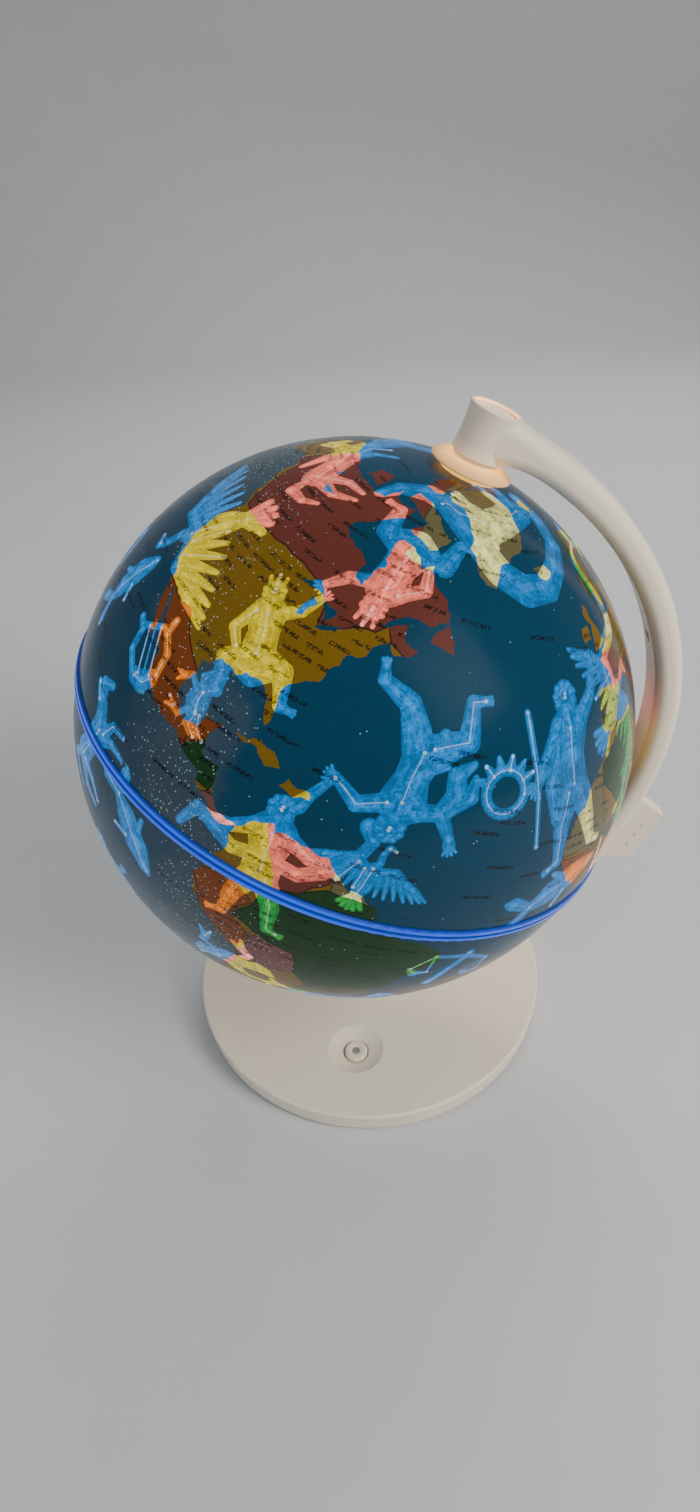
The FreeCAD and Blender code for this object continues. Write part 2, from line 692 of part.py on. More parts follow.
def diffuser_end():
    bottom = -DIFFUSER_HALF
    return tube(AXLE_R + FIT_GAP, DIFFUSER_R - DIFFUSER_WALL - 0.05, bottom, bottom + 2.0)


# ---- Base and neck, in the stand frame ----------------------------------------------------------------------


def neck_screw_places():
    return list(on_circle(NECK_SCREW_CIRCLE, 3, 90.0))


def base_cover():
    body = Part.makeCone(BASE_FOOT_R, BASE_R, BASE_TOP - BASE_BOTTOM, Vector(0, 0, BASE_BOTTOM))
    body = body.makeFillet(BASE_TOP_EDGE, edges_at_height(body, BASE_TOP, BASE_R))
    body = body.makeFillet(BASE_BOTTOM_EDGE, edges_at_height(body, BASE_BOTTOM, BASE_FOOT_R))
    body = body.cut(cylinder(BASE_INNER_R, 0, BASE_CEILING))
    bx, by = button_centre()
    added = [cylinder(DISH_PAD_R, DISH_PAD_BOTTOM, BASE_CEILING + 0.2, bx, by)]
    for x, y in on_circle(PLATE_SCREW_RADIUS, PLATE_SCREW_COUNT, 45.0):
        added.append(cylinder(BASE_BOSS_R, PLATE_TOP, BASE_CEILING + 0.2, x, y))
    body = fuse([body] + added)
    dish_r = (DISH_R ** 2 + DISH_DEPTH ** 2) / (2 * DISH_DEPTH)
    dish = Part.makeSphere(dish_r, Vector(bx, by, BASE_TOP - DISH_DEPTH + dish_r))
    body = body.cut(dish).cut(cylinder(BUTTON_HOLE_R, 0, BASE_TOP + OVERCUT, bx, by))
    # The hole's mouth flares where it meets the dish, so a soft groove runs round the button.
    flare = BUTTON_MOUTH_R - BUTTON_HOLE_R
    floor = BASE_TOP - DISH_DEPTH
    rise = dish_r - math.sqrt(dish_r ** 2 - BUTTON_MOUTH_R ** 2)
    height = BUTTON_MOUTH_DEPTH + rise
    body = body.cut(Part.makeCone(BUTTON_HOLE_R, BUTTON_HOLE_R + 2 * flare, 2 * height,
                                  Vector(bx, by, floor - BUTTON_MOUTH_DEPTH)))
    for x, y in on_circle(PLATE_SCREW_RADIUS, PLATE_SCREW_COUNT, 45.0):
        body = body.cut(cylinder(SCREW_HOLE_R, 0, BASE_CEILING - 0.5, x, y))
    for x, y in neck_screw_places():
        body = body.cut(cylinder(NECK_SCREW_R + 0.15, 0, BASE_TOP + OVERCUT, x, y))
    return body.cut(fuse(cable_holes(0, BASE_TOP + OVERCUT)))


def base_plate():
    plate = cylinder(PLATE_R, BASE_BOTTOM, PLATE_TOP)
    for x, y in on_circle(PLATE_SCREW_RADIUS, PLATE_SCREW_COUNT, 45.0):
        plate = plate.cut(cylinder(SCREW_HOLE_R + 0.2, 0, 10, x, y))
        plate = plate.cut(cylinder(SCREW_HEAD_R + 0.2, 0, BASE_BOTTOM + 1.1, x, y))
    return plate.cut(cylinder(PAD_R + 0.05, 0, PAD_H))


def upright_screw(x, y, z_head, z_tip, shank_r, head_r, head_h=SCREW_HEAD_H):
    head = cylinder(head_r, z_head, z_head + head_h, x, y)
    shank = cylinder(shank_r, z_head + head_h, z_tip, x, y)
    slots = [box(x - a, x + a, y - b, y + b, z_head - OVERCUT, z_head + DRIVE_SLOT_DEPTH)
             for a, b in DRIVE_SLOTS]
    return fuse([head, shank]).cut(fuse(slots))


def base_screws():
    # The head sits in the plate's counterbore, just inside its underside.
    z_head = BASE_BOTTOM + 1.1 - SCREW_HEAD_H + 0.5
    places = on_circle(PLATE_SCREW_RADIUS, PLATE_SCREW_COUNT, 45.0)
    head_h = BASE_BOTTOM + 1.1 - z_head
    return Part.makeCompound([upright_screw(x, y, z_head, BASE_CEILING - 1.0, SCREW_R, SCREW_HEAD_R, head_h)
                              for x, y in places])


def non_slip_pad():
    pad = cylinder(PAD_R, 0, PAD_H)
    return pad.makeFillet(PAD_EDGE, edges_at_height(pad, 0, PAD_R))


def ballast_plate():
    ring = tube(BALLAST_INNER, BALLAST_OUTER, BALLAST_BOTTOM, BALLAST_BOTTOM + BALLAST_T)
    reach = 2 * BALLAST_OUTER
    half = math.radians(BALLAST_GAP_DEG / 2)
    middle = math.radians(BUTTON_ANGLE)
    corners = [Vector(0, 0, 0)]
    corners += [Vector(reach * math.cos(middle + s * half), reach * math.sin(middle + s * half), 0)
                for s in (-1, 1)]
    gap = Part.Face(Part.makePolygon(corners + corners[:1])).extrude(Vector(0, 0, 20))
    return ring.cut(gap)


def battery_cell():
    cell = box(-CELL_HALF_X, CELL_HALF_X, CELL_FRONT, CELL_BACK, PLATE_TOP + 0.1, CELL_TOP)
    long_edges = [e for e in cell.Edges if abs(e.Vertexes[0].X - e.Vertexes[-1].X) > CELL_HALF_X]
    return cell.makeFillet(1.6, long_edges)


def battery_leads():
    z = BOARD_BOTTOM + BOARD_T + 1.2
    wires = [rod([Vector(x, CELL_FRONT, z), Vector(x, LEAD_END_Y, z)], LEAD_R) for x in LEAD_XS]
    return Part.makeCompound(wires)


def control_board():
    bx, by = button_centre()
    board = box(bx - 15.0, bx + 22.0, by - 14.0, by + 20.0, BOARD_BOTTOM, BOARD_BOTTOM + BOARD_T)
    return board.common(cylinder(BALLAST_OUTER, 0, 20))


def tact_switch():
    bx, by = button_centre()
    top = BOARD_BOTTOM + BOARD_T
    body = box(bx - SWITCH_HALF, bx + SWITCH_HALF, by - SWITCH_HALF, by + SWITCH_HALF, top, SWITCH_TOP)
    return body.cut(cylinder(PLUNGER_R + 0.08, top + 0.02, SWITCH_TOP + OVERCUT, bx, by))


def switch_plunger():
    bx, by = button_centre()
    return cylinder(PLUNGER_R, PLUNGER_BOTTOM, BUTTON_FLANGE_BOTTOM, bx, by)


def button_cap():
    bx, by = button_centre()
    cap = cylinder(BUTTON_R, BUTTON_FLANGE_TOP, BUTTON_TOP, bx, by)
    cap = cap.makeFillet(BUTTON_EDGE, edges_at_height(cap, BUTTON_TOP, BUTTON_R))
    cap = fuse([cap, cylinder(BUTTON_FLANGE_R, BUTTON_FLANGE_BOTTOM, BUTTON_FLANGE_TOP, bx, by)])
    # A shallow cone leads the fingertip to the dark lens.
    lead = Part.makeCone(LENS_R + 0.02, LENS_R + 1.0, BUTTON_TOP - LENS_TOP, Vector(bx, by, LENS_TOP))
    return cap.cut(lead).cut(cylinder(LENS_R + FIT_GAP, LENS_BOTTOM, BUTTON_TOP, bx, by))


def button_lens():
    bx, by = button_centre()
    lens = cylinder(LENS_R, LENS_BOTTOM, LENS_TOP, bx, by)
    return lens.makeFillet(0.35, edges_at_height(lens, LENS_TOP, LENS_R))


def stand_neck():
    neck = waisted(NECK_FOOT_R, NECK_WAIST_R, NECK_TOP_R, BASE_TOP, NECK_TOP, NECK_WAIST_RISE)
    neck = neck.cut(to_stand(arm_solid()))
    for side in (-1, 1):
        neck = neck.cut(cylinder(ARM_BOLT_R + 0.15, 0, NECK_TOP, side * ARM_BOLT_X))
        neck = neck.cut(cylinder(3.1, 0, ARM_BOLT_SEAT, side * ARM_BOLT_X))
    for x, y in neck_screw_places():
        neck = neck.cut(cylinder(NECK_SCREW_R + 0.03, 0, NECK_SCREW_TOP + 0.5, x, y))
    return neck.cut(fuse(cable_holes(0, NECK_TOP + OVERCUT)))


def neck_screws():
    z_head = BASE_CEILING - SCREW_HEAD_H
    return Part.makeCompound([upright_screw(x, y, z_head, NECK_SCREW_TOP, NECK_SCREW_R, 2.7)
                              for x, y in neck_screw_places()])


def arm_bolts():
    z_head = ARM_BOLT_SEAT - 2.0
    return Part.makeCompound([upright_screw(side * ARM_BOLT_X, 0, z_head, ARM_BOLT_TOP, ARM_BOLT_R, 2.8, 2.0)
                              for side in (-1, 1)])


# ---- Writing the parts --------------------------------------------------------------------------------------


def both_poles(shape):
    return Part.makeCompound([shape, southward(shape)])


def globe_frame_parts():
    return {
        "north_hemisphere": hemisphere(),
        "south_hemisphere": southward(hemisphere()),
        "equator_ring": equator_ring(),
        "north_collar": pole_collar(),
        "south_collar": southward(pole_collar()),
        "north_bush": pole_bush(),
        "south_bush": southward(pole_bush()),
        "collar_clips": both_poles(collar_clip()),
        "felt_washers": both_poles(felt_washer()),
        "axle_tube": tube(AXLE_BORE_R, AXLE_R, -AXLE_END, AXLE_END),
        "axle_nuts": both_poles(axle_nut()),
        "top_cap": hub_cap(),
        "bottom_cap": southward(hub_cap()),
        "arm_outer_shell": arm_outer_shell(),
        "arm_inner_cover": arm_inner_cover(),
        "arm_cover_screws": arm_cover_screws(),
        "pod_housing": pod_housing(),
        "pod_screws": pod_screws(),
        "charge_board": charge_board(),
        "charge_socket": charge_socket(),
        "lamp_cable": lamp_cable(),
        "charge_cable": charge_cable(),
        "lamp_holder": lamp_holder(),
        "led_boards": led_boards(),
        "led_chips": led_chips(),
        "lamp_diffuser": lamp_diffuser(),
        "diffuser_end": diffuser_end(),
    }


def stand_frame_parts():
    return {
        "base_cover": base_cover(),
        "base_plate": base_plate(),
        "base_screws": base_screws(),
        "non_slip_pad": non_slip_pad(),
        "ballast_plate": ballast_plate(),
        "battery_cell": battery_cell(),
        "battery_leads": battery_leads(),
        "control_board": control_board(),
        "tact_switch": tact_switch(),
        "switch_plunger": switch_plunger(),
        "button_cap": button_cap(),
        "button_lens": button_lens(),
        "stand_neck": stand_neck(),
        "neck_screws": neck_screws(),
        "arm_bolts": arm_bolts(),
    }


def main():
    os.makedirs("parts", exist_ok=True)
    parts = {name: to_stand(shape) for name, shape in globe_frame_parts().items()}
    parts.update(stand_frame_parts())
    for name, shape in parts.items():
        shape.exportStep("parts/" + name + ".step")
        print(name, len(shape.Solids), round(shape.Volume, 1), shape.isValid())


main()
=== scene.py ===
import math
import random

import bpy
from mathutils import Matrix, Vector
from mathutils.geometry import delaunay_2d_cdt


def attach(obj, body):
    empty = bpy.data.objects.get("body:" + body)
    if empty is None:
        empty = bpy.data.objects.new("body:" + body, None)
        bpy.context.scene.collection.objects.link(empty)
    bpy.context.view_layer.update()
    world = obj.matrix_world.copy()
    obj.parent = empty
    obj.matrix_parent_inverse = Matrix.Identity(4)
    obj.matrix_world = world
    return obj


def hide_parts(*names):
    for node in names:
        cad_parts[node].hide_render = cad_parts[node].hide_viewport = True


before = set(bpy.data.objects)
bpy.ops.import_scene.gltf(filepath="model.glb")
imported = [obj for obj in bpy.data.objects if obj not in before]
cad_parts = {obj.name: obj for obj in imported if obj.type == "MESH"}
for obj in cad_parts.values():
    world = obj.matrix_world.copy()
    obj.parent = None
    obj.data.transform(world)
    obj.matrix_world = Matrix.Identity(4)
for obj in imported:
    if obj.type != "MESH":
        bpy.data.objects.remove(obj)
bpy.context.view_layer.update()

# ---- The ball's place and size, in metres and degrees --------------------------------------------
BALL_R = 0.100
BALL_CENTRE = Vector((0, 0, 0.150))
TILT = math.radians(23.5)
POLE = Vector((math.sin(TILT), 0, math.cos(TILT)))
TO_STAND = Matrix.Translation(BALL_CENTRE) @ Matrix.Rotation(TILT, 4, "Y")
MAP_TURN = -37.0
BAND_HALF = math.degrees(math.asin(0.0022 / BALL_R))
POLE_HOLE = math.degrees(math.asin(0.009 / BALL_R))
SHELL_T = 0.0016
HUB_FOOT = 0.1058
HUB_RECESS = 0.1193
HUB_TOP = 0.1203
HUB_MOUTH = 0.0073
HUB_R = 0.0087


# ---- Node helpers --------------------------------------------------------------------------------


class Nodes:
    """A short way to build one node material."""

    def __init__(self, name):
        self.mat = bpy.data.materials.new(name)
        self.mat.use_nodes = True
        self.tree = self.mat.node_tree
        self.bsdf = self.tree.nodes["Principled BSDF"]

    def node(self, kind, **values):
        n = self.tree.nodes.new(kind)
        for key, value in values.items():
            if hasattr(n, key):
                setattr(n, key, value)
            else:
                n.inputs[key.replace("_", " ")].default_value = value
        return n

    def link(self, a, b):
        self.tree.links.new(a, b)

    def put(self, socket, value):
        if isinstance(value, bpy.types.NodeSocket):
            self.link(value, socket)
        else:
            socket.default_value = value

    def math(self, op, a, b=0.0):
        n = self.node("ShaderNodeMath", operation=op)
        for socket, value in zip(n.inputs, (a, b)):
            self.put(socket, value)
        return n.outputs[0]

    def times(self, a, b):
        return self.math("MULTIPLY", a, b)

    def plus(self, a, b):
        return self.math("ADD", a, b)

    def minus(self, a, b):
        return self.math("SUBTRACT", a, b)

    def give(self, name, value):
        self.put(self.bsdf.inputs[name], value)

    def mix(self, factor, a, b):
        n = self.node("ShaderNodeMix", data_type="RGBA", blend_type="MIX")
        self.put(n.inputs[0], factor)
        self.put(n.inputs[6], a)
        self.put(n.inputs[7], b)
        return n.outputs[2]

    def vector(self, op, a, b=None):
        n = self.node("ShaderNodeVectorMath", operation=op)
        self.put(n.inputs[0], a)
        if b is not None:
            self.put(n.inputs[1], b)
        return n.outputs["Value"] if op in ("DOT_PRODUCT", "LENGTH") else n.outputs["Vector"]

    def scaled(self, colour, factor):
        n = self.node("ShaderNodeVectorMath", operation="SCALE")
        self.put(n.inputs[0], colour)
        self.put(n.inputs["Scale"], factor)
        return n.outputs["Vector"]

    def along_axle(self):
        """The height above the ball's equator and the distance from the axle, in metres."""
        from_centre = self.vector("SUBTRACT", self.coords(), BALL_CENTRE)
        height = self.vector("DOT_PRODUCT", from_centre, POLE)
        aside = self.vector("SUBTRACT", from_centre, self.scaled(tuple(POLE), height))
        return height, self.vector("LENGTH", aside)

    def noise(self, scale, detail=3.0, rough=0.5, distortion=0.0):
        n = self.node("ShaderNodeTexNoise", Scale=scale, Detail=detail, Roughness=rough,
                      Distortion=distortion)
        self.link(self.coords(), n.inputs["Vector"])
        return n.outputs[0]

    def coords(self):
        return self.node("ShaderNodeTexCoord").outputs["Object"]

    def ramp(self, value, low, high, out_low, out_high):
        n = self.node("ShaderNodeMapRange")
        for socket, v in zip(n.inputs, (value, low, high, out_low, out_high)):
            self.put(socket, v)
        return n.outputs[0]

    def bump(self, height, strength, distance):
        n = self.node("ShaderNodeBump", Strength=strength, Distance=distance)
        self.link(height, n.inputs["Height"])
        self.link(n.outputs[0], self.bsdf.inputs["Normal"])


def rgb(r, g, b):
    """sRGB to the linear colour that the shader takes."""
    return tuple(c / 12.92 if c < 0.04045 else ((c + 0.055) / 1.055) ** 2.4 for c in (r, g, b)) + (1.0,)


def plastic(name, colour, rough, grain=1400.0, grain_depth=0.02, blotch=0.04, coat=0.0, sheen_rough=0.08,
            metallic=0.0):
    """A moulded or metal surface: base colour drift, roughness drift and a fine moulded grain."""
    m = Nodes(name)
    drift = m.noise(22.0, 4.0, 0.6)
    fine = m.noise(grain, 2.0, 0.6)
    base = rgb(*colour)
    dark = tuple(c * (1 - 4 * blotch) for c in base[:3]) + (1.0,)
    m.give("Base Color", m.mix(m.ramp(drift, 0.35, 0.7, 0.0, 1.0), base, dark))
    scuff = m.noise(90.0, 5.0, 0.7, distortion=0.6)
    m.give("Roughness", m.ramp(scuff, 0.3, 0.75, rough - sheen_rough / 2, rough + sheen_rough))
    m.give("Metallic", metallic)
    m.give("Coat Weight", coat)
    m.bump(fine, grain_depth * 8, 0.00004)
    return m


def paint(material, *nodes):
    for name in nodes:
        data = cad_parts[name].data
        data.materials.clear()
        data.materials.append(material.mat)


# ---- Stand materials -----------------------------------------------------------------------------


# Lamp light painted on the hubs where it leaks from them: its colour, and the sharp and soft ends of the lit
# zones in metres.
LAMP_WARMTH = (1.0, 0.42, 0.10, 1.0)
LEAK_EDGE = 0.0001
FOOT_EDGE = 0.0002
FOOT_GLOW_HEIGHT = 0.0045
PAINTED_LEAK_LIGHT = 1.6
PAINTED_FOOT_LIGHT = 0.16
COLLAR_BRIGHT_R = 0.0082
COLLAR_DIM_R = 0.0128
# The ring's two lit beads: their height from the equator, and where their light starts and stops fading.
BEAD_HEIGHT = 0.0012
BEAD_CORE = 0.0002
BEAD_EDGE = 0.0009


def satin_white():
    m = plastic("satin_white", (0.93, 0.88, 0.80), 0.30, blotch=0.012, coat=0.1)
    m.give("Subsurface Weight", 0.05)
    m.give("Subsurface Radius", (0.004, 0.003, 0.002))
    # Painted light: warm emission on the white plastic where leaking lamp light falls, on the inner wall
    # round the cap in the top of each hub and, fading away from the collar, on each hub's foot.
    height, aside = m.along_axle()
    height = m.math("ABSOLUTE", height)
    above = m.ramp(height, HUB_RECESS - LEAK_EDGE, HUB_RECESS + LEAK_EDGE, 0.0, 1.0)
    below_rim = m.math("LESS_THAN", height, HUB_TOP)
    leak = m.times(m.times(above, below_rim), m.math("LESS_THAN", aside, HUB_MOUTH))
    foot = m.times(m.ramp(height, HUB_FOOT, HUB_FOOT + FOOT_GLOW_HEIGHT, 1.0, 0.0),
                   m.math("GREATER_THAN", height, HUB_FOOT - FOOT_EDGE))
    foot = m.times(foot, m.math("LESS_THAN", aside, HUB_R))
    m.give("Emission Color", LAMP_WARMTH)
    m.give("Emission Strength", m.plus(m.times(leak, PAINTED_LEAK_LIGHT), m.times(foot, PAINTED_FOOT_LIGHT)))
    return m


def lit_collar():
    """Opal plastic filled with warm lamp light that fades from the hub out to the rim."""
    m = plastic("lit_collar", (0.90, 0.72, 0.50), 0.25, blotch=0.01, coat=0.2)
    _, aside = m.along_axle()
    fade = m.ramp(aside, COLLAR_BRIGHT_R, COLLAR_DIM_R, 1.0, 0.0)
    cloud = m.ramp(m.noise(160.0, 3.0, 0.5), 0.3, 0.7, 0.85, 1.0)
    m.give("Emission Color", m.mix(fade, (0.70, 0.30, 0.07, 1.0), (1.0, 0.50, 0.06, 1.0)))
    m.give("Emission Strength", m.times(m.ramp(fade, 0.0, 1.0, 0.45, 1.7), cloud))
    return m


def blue_band():
    """Dark blue moulded ring whose two beads pass the lamp's light."""
    m = plastic("blue_band", (0.02, 0.16, 0.50), 0.2, coat=0.3)
    height, _ = m.along_axle()
    from_bead = m.math("ABSOLUTE", m.minus(m.math("ABSOLUTE", height), BEAD_HEIGHT))
    bead = m.ramp(from_bead, BEAD_CORE, BEAD_EDGE, 1.0, 0.12)
    flicker = m.ramp(m.noise(60.0, 3.0), 0.3, 0.7, 0.75, 1.1)
    m.give("Emission Color", rgb(0.03, 0.34, 1.0))
    m.give("Emission Strength", m.times(bead, flicker))
    return m


def dress_nodes():
    paint(satin_white(), "arm_outer_shell", "arm_inner_cover", "pod_housing", "base_cover", "button_cap",
          "stand_neck", "top_cap", "bottom_cap")
    paint(lit_collar(), "north_collar", "south_collar")
    paint(blue_band(), "equator_ring")
    paint(plastic("dark_lens", (0.56, 0.55, 0.50), 0.25, coat=0.4), "button_lens")
    paint(plastic("bearing_plastic", (0.90, 0.89, 0.86), 0.35), "north_bush", "south_bush", "collar_clips")
    paint(plastic("felt", (0.84, 0.82, 0.78), 0.9, 900.0, 0.12), "felt_washers")
    steel = plastic("screw_steel", (0.72, 0.72, 0.72), 0.3, 2600.0, 0.05, metallic=1.0)
    paint(steel, "axle_nuts", "arm_cover_screws", "pod_screws", "base_screws", "neck_screws", "arm_bolts",
          "axle_tube", "charge_socket")
    paint(plastic("ballast_steel", (0.20, 0.20, 0.21), 0.55, 700.0, 0.1, metallic=0.8), "ballast_plate")
    paint(plastic("circuit_board", (0.08, 0.34, 0.16), 0.4), "charge_board", "control_board")
    paint(plastic("cable_sheath", (0.82, 0.82, 0.80), 0.5), "lamp_cable", "charge_cable")
    paint(plastic("lead_red", (0.62, 0.06, 0.05), 0.5), "battery_leads")
    paint(plastic("lamp_aluminium", (0.80, 0.80, 0.80), 0.35, metallic=1.0), "lamp_holder")
    paint(plastic("white_board", (0.93, 0.93, 0.91), 0.45), "led_boards")
    paint(plastic("led_chip", (1.0, 0.88, 0.45), 0.3), "led_chips")
    paint(plastic("opal", (0.95, 0.94, 0.90), 0.4), "lamp_diffuser", "diffuser_end")
    paint(plastic("inner_plastic", (0.80, 0.79, 0.77), 0.5, 900.0, 0.08), "base_plate")
    paint(plastic("pad_rubber", (0.10, 0.10, 0.10), 0.8, 1100.0, 0.2), "non_slip_pad")
    paint(plastic("battery_wrap", (0.22, 0.36, 0.60), 0.4), "battery_cell")
    paint(plastic("switch_black", (0.06, 0.06, 0.06), 0.4), "tact_switch", "switch_plunger")


# ---- Camera, light and floor ---------------------------------------------------------------------

CAM_PLACE = Vector((0.0066, -0.2674, 0.3367))
CAM_BACK_AZ = 1.92
CAM_BACK_EL = 37.21
CAM_ROLL = -3.73
FOCAL_IN_LONG_SIDES = 871.9 / 1512.0


def add_camera():
    data = bpy.data.cameras.new("view_camera")
    cam = bpy.data.objects.new("view_camera", data)
    bpy.context.scene.collection.objects.link(cam)
    a, e, r = (math.radians(v) for v in (CAM_BACK_AZ, CAM_BACK_EL, CAM_ROLL))
    back = Vector((math.sin(a) * math.cos(e), -math.cos(a) * math.cos(e), math.sin(e)))
    right = (-back).cross(Vector((0, 0, 1))).normalized()
    up = right.cross(-back)
    x_axis = right * math.cos(r) + up * math.sin(r)
    y_axis = up * math.cos(r) - right * math.sin(r)
    cam.matrix_world = Matrix.Translation(CAM_PLACE) @ Matrix((x_axis, y_axis, back)).transposed().to_4x4()
    data.sensor_width = 36.0
    data.lens = FOCAL_IN_LONG_SIDES * data.sensor_width
    data.clip_start = 0.01
    bpy.context.scene.camera = cam


def add_area(name, place, target, size, power, colour, mirrored):
    data = bpy.data.lights.new(name, "AREA")
    data.shape = "RECTANGLE"
    data.size, data.size_y = size
    data.energy = power
    data.color = colour
    lamp = bpy.data.objects.new(name, data)
    bpy.context.scene.collection.objects.link(lamp)
    lamp.location = place
    lamp.rotation_euler = (Vector(target) - Vector(place)).to_track_quat("-Z", "Y").to_euler()
    lamp.visible_glossy = mirrored


# Each light: name, place, target, size, power in watts, colour, and whether glossy surfaces mirror it.
STUDIO_LIGHTS = (
    ("key_light", (0.95, -0.62, 0.85), (0, 0, 0.12), (0.5, 0.7), 17.0, (1.0, 0.95, 0.88), False),
    ("window_light", (0.85, -0.70, 1.05), (0, 0, 0.15), (0.75, 0.95), 2.6, (0.95, 0.97, 1.0), True),
    ("fill_light", (-0.9, -0.5, 0.6), (0, 0, 0.12), (0.8, 0.8), 3.0, (0.88, 0.93, 1.0), False),
    ("back_light", (0.3, 1.0, 1.0), (0, 0, 0.12), (0.9, 0.5), 9.0, (1.0, 0.96, 0.9), False),
)
SKY_COLOUR = (0.74, 0.76, 0.78, 1)
SKY_STRENGTH = 0.38
# The floor sweep in metres: half its width, where it starts to rise, its bend and its top.
FLOOR_HALF = 3.0
FLOOR_DEPTH = 1.2
SWEEP_R = 0.5
SWEEP_STEPS = 16
SWEEP_TOP = 2.5


def add_studio():
    for light in STUDIO_LIGHTS:
        add_area(*light)
    world = bpy.data.worlds.new("studio")
    bpy.context.scene.world = world
    world.use_nodes = True
    world.node_tree.nodes["Background"].inputs[0].default_value = SKY_COLOUR
    world.node_tree.nodes["Background"].inputs[1].default_value = SKY_STRENGTH


def add_floor():
    """A pale sweep: flat floor that rises in a smooth curve behind the object."""
    profile = [(-FLOOR_HALF, 0.0), (FLOOR_DEPTH, 0.0)]
    for i in range(1, SWEEP_STEPS + 1):
        a = math.pi / 2 * i / SWEEP_STEPS
        profile.append((FLOOR_DEPTH + SWEEP_R * math.sin(a), SWEEP_R * (1 - math.cos(a))))
    profile.append((FLOOR_DEPTH + SWEEP_R, SWEEP_TOP))
    verts = [(x, y, z) for y, z in profile for x in (-FLOOR_HALF, FLOOR_HALF)]
    faces = [(2 * i, 2 * i + 1, 2 * i + 3, 2 * i + 2) for i in range(len(profile) - 1)]
    mesh = bpy.data.meshes.new("floor_sweep")
    mesh.from_pydata(verts, [], faces)
    mesh.shade_smooth()
    floor = bpy.data.objects.new("floor_sweep", mesh)
    bpy.context.scene.collection.objects.link(floor)
    m = plastic("floor_paint", (0.78, 0.79, 0.80), 0.7, 500.0, 0.01, 0.006)
    mesh.materials.append(m.mat)


# ---- Map outlines, as longitude and latitude in degrees ------------------------------------------

NORTH_AMERICA = """-168 66 -162 67 -165 69 -156 71 -141 70 -128 70 -115 68 -108 68 -97 68 -95 72 -90 69
-82 69.5 -82 67 -87 64.5 -94 60.5 -94.5 58.5 -88 56.5 -82 55 -82 52 -79.5 51.2 -79 54.5 -77 56 -78.5 59
-77.5 62.3 -73 62 -70 60.8 -68 58.5 -64.5 60.3 -61.5 56.5 -56 53 -56 51.5 -60 50 -66.5 50 -70 47 -65 49
-64.5 46.3 -61 45.6 -65.5 43.5 -67 45 -70 43.5 -70.5 41.7 -74 40.5 -75.8 37.2 -76 35 -79 33.5 -81.3 31
-80.2 26.5 -80.8 25.1 -81.8 26.5 -82.8 29 -84 30 -88.5 30.3 -90 29 -94 29.6 -97.3 27.5 -97.7 22.5
-96 19.2 -94 18.1 -91 18.7 -90 21.2 -87 21.5 -88.2 16 -84 15.8 -83.3 11 -81 8.8 -77.5 8.6 -80 7.3
-83 8.3 -85.8 10.5 -87.6 13 -91.5 14.2 -95 16 -99.5 16.6 -105.5 20 -106 23 -109.4 26 -113 31 -114.7 31.5
-112 28 -109.6 23 -112 25 -115 29 -117.2 32.7 -120.6 34.6 -122.5 37.5 -124.3 40.4 -124 46 -123 48.5
-127.5 51 -130.5 54.5 -135 58.5 -140 59.8 -146 60.8 -151.5 59.5 -156 57.5 -162 55 -158 58.5 -162 60
-165.5 62 -161 64.5"""
SOUTH_AMERICA = """-77.5 8.6 -75.5 10.7 -72 12.2 -71.5 10.8 -68 11.3 -62 10.7 -60 8.5 -57 6 -51.5 4.2
-50 0.5 -44 -2.5 -39 -3 -35.2 -5.5 -35 -9 -38.8 -13.5 -39.5 -18.5 -41.5 -22.3 -48.5 -26 -50 -29.5
-53.5 -33.7 -58 -34.5 -57 -38 -62 -39 -65 -41 -65.5 -45 -69 -50.5 -68.5 -52.5 -65.5 -55 -71 -54 -75 -50
-74.5 -44 -73.5 -37.5 -71.5 -31 -70.2 -19 -76 -14 -81 -6 -80 -2 -80 1 -77.5 4"""
EURASIA = """-9.3 38.5 -9 43 -1.5 43.5 -1.2 46 -4.7 48.3 1.5 50.9 4.5 52.5 8.5 53.8 8.2 57 10.5 57.6
10.5 54.3 14 54 19 54.5 21.5 57.5 24 59.3 30 60 23 60 21.5 63 25 65.5 22 65.7 17.3 61 18.8 59.8 16 56.3
12.8 55.6 11 59 8 58.2 5.2 60 6 62.5 12 66 17 69.2 25.5 71 31 70 41 67 34 66.6 38 64 44 66.3 54 68.6
68 69 68 72.8 80 73 104 77.6 113 73.7 130 71.5 141 72.8 160 69.7 180 69 190 66 179 62.5 170 60 163.5 58
162 55.5 157 51.2 156 57 163.5 62 155 59.3 143 59.3 135.5 54.7 141 53 139.5 48 132 43.2 128 40 129.3 36
126.5 34.5 126 38 121.5 39 118 39 122.3 37 119.5 35 121.8 31.5 120 27 116.5 23 110 21 106 20 109 13
105 9 101 13 99.5 9.5 103.5 1.5 101 3 98.5 8.5 97.5 16.5 94 16.2 91.5 22.7 87 21.3 80.3 15.5 77.5 8.1
73 19 70 21 66.8 25 57 25.7 52 27.7 48.5 30 51.5 25 56.3 26.3 59.8 22.5 55 17 45 12.8 42.7 16.5 39 21.5
35 28 34.4 31.5 36 36.5 30.5 36.5 26.5 38.5 29 41.2 35 42 41.5 41.5 37.5 45.5 33.5 45.5 30.5 46.3 28 42
26 40.8 23 40.3 23.5 38 21.5 36.7 19.5 41.5 13.7 45.5 12.4 44.2 18.4 40.2 16 38 10.5 43 7.5 43.8 3.2 43
3.3 41.9 -0.3 39.5 -2 36.8 -5.5 36 -8.8 37"""
AFRICA = """-5.8 35.8 -9.8 31 -13 27.7 -17 21 -17.3 14.7 -13 9 -7.6 4.4 0 5.2 9 4.3 9 -1 13.5 -9
12 -17.5 15 -27 18.3 -34 26 -34 32 -28.5 35.3 -24 40.5 -15 39 -6.5 44 0.5 51.2 11.8 43.3 11.5 37.3 20.5
32.6 30 34.4 31.3 25 31.6 20 30.9 15.3 32.3 11 33.8 10.7 37.2 3 36.8"""
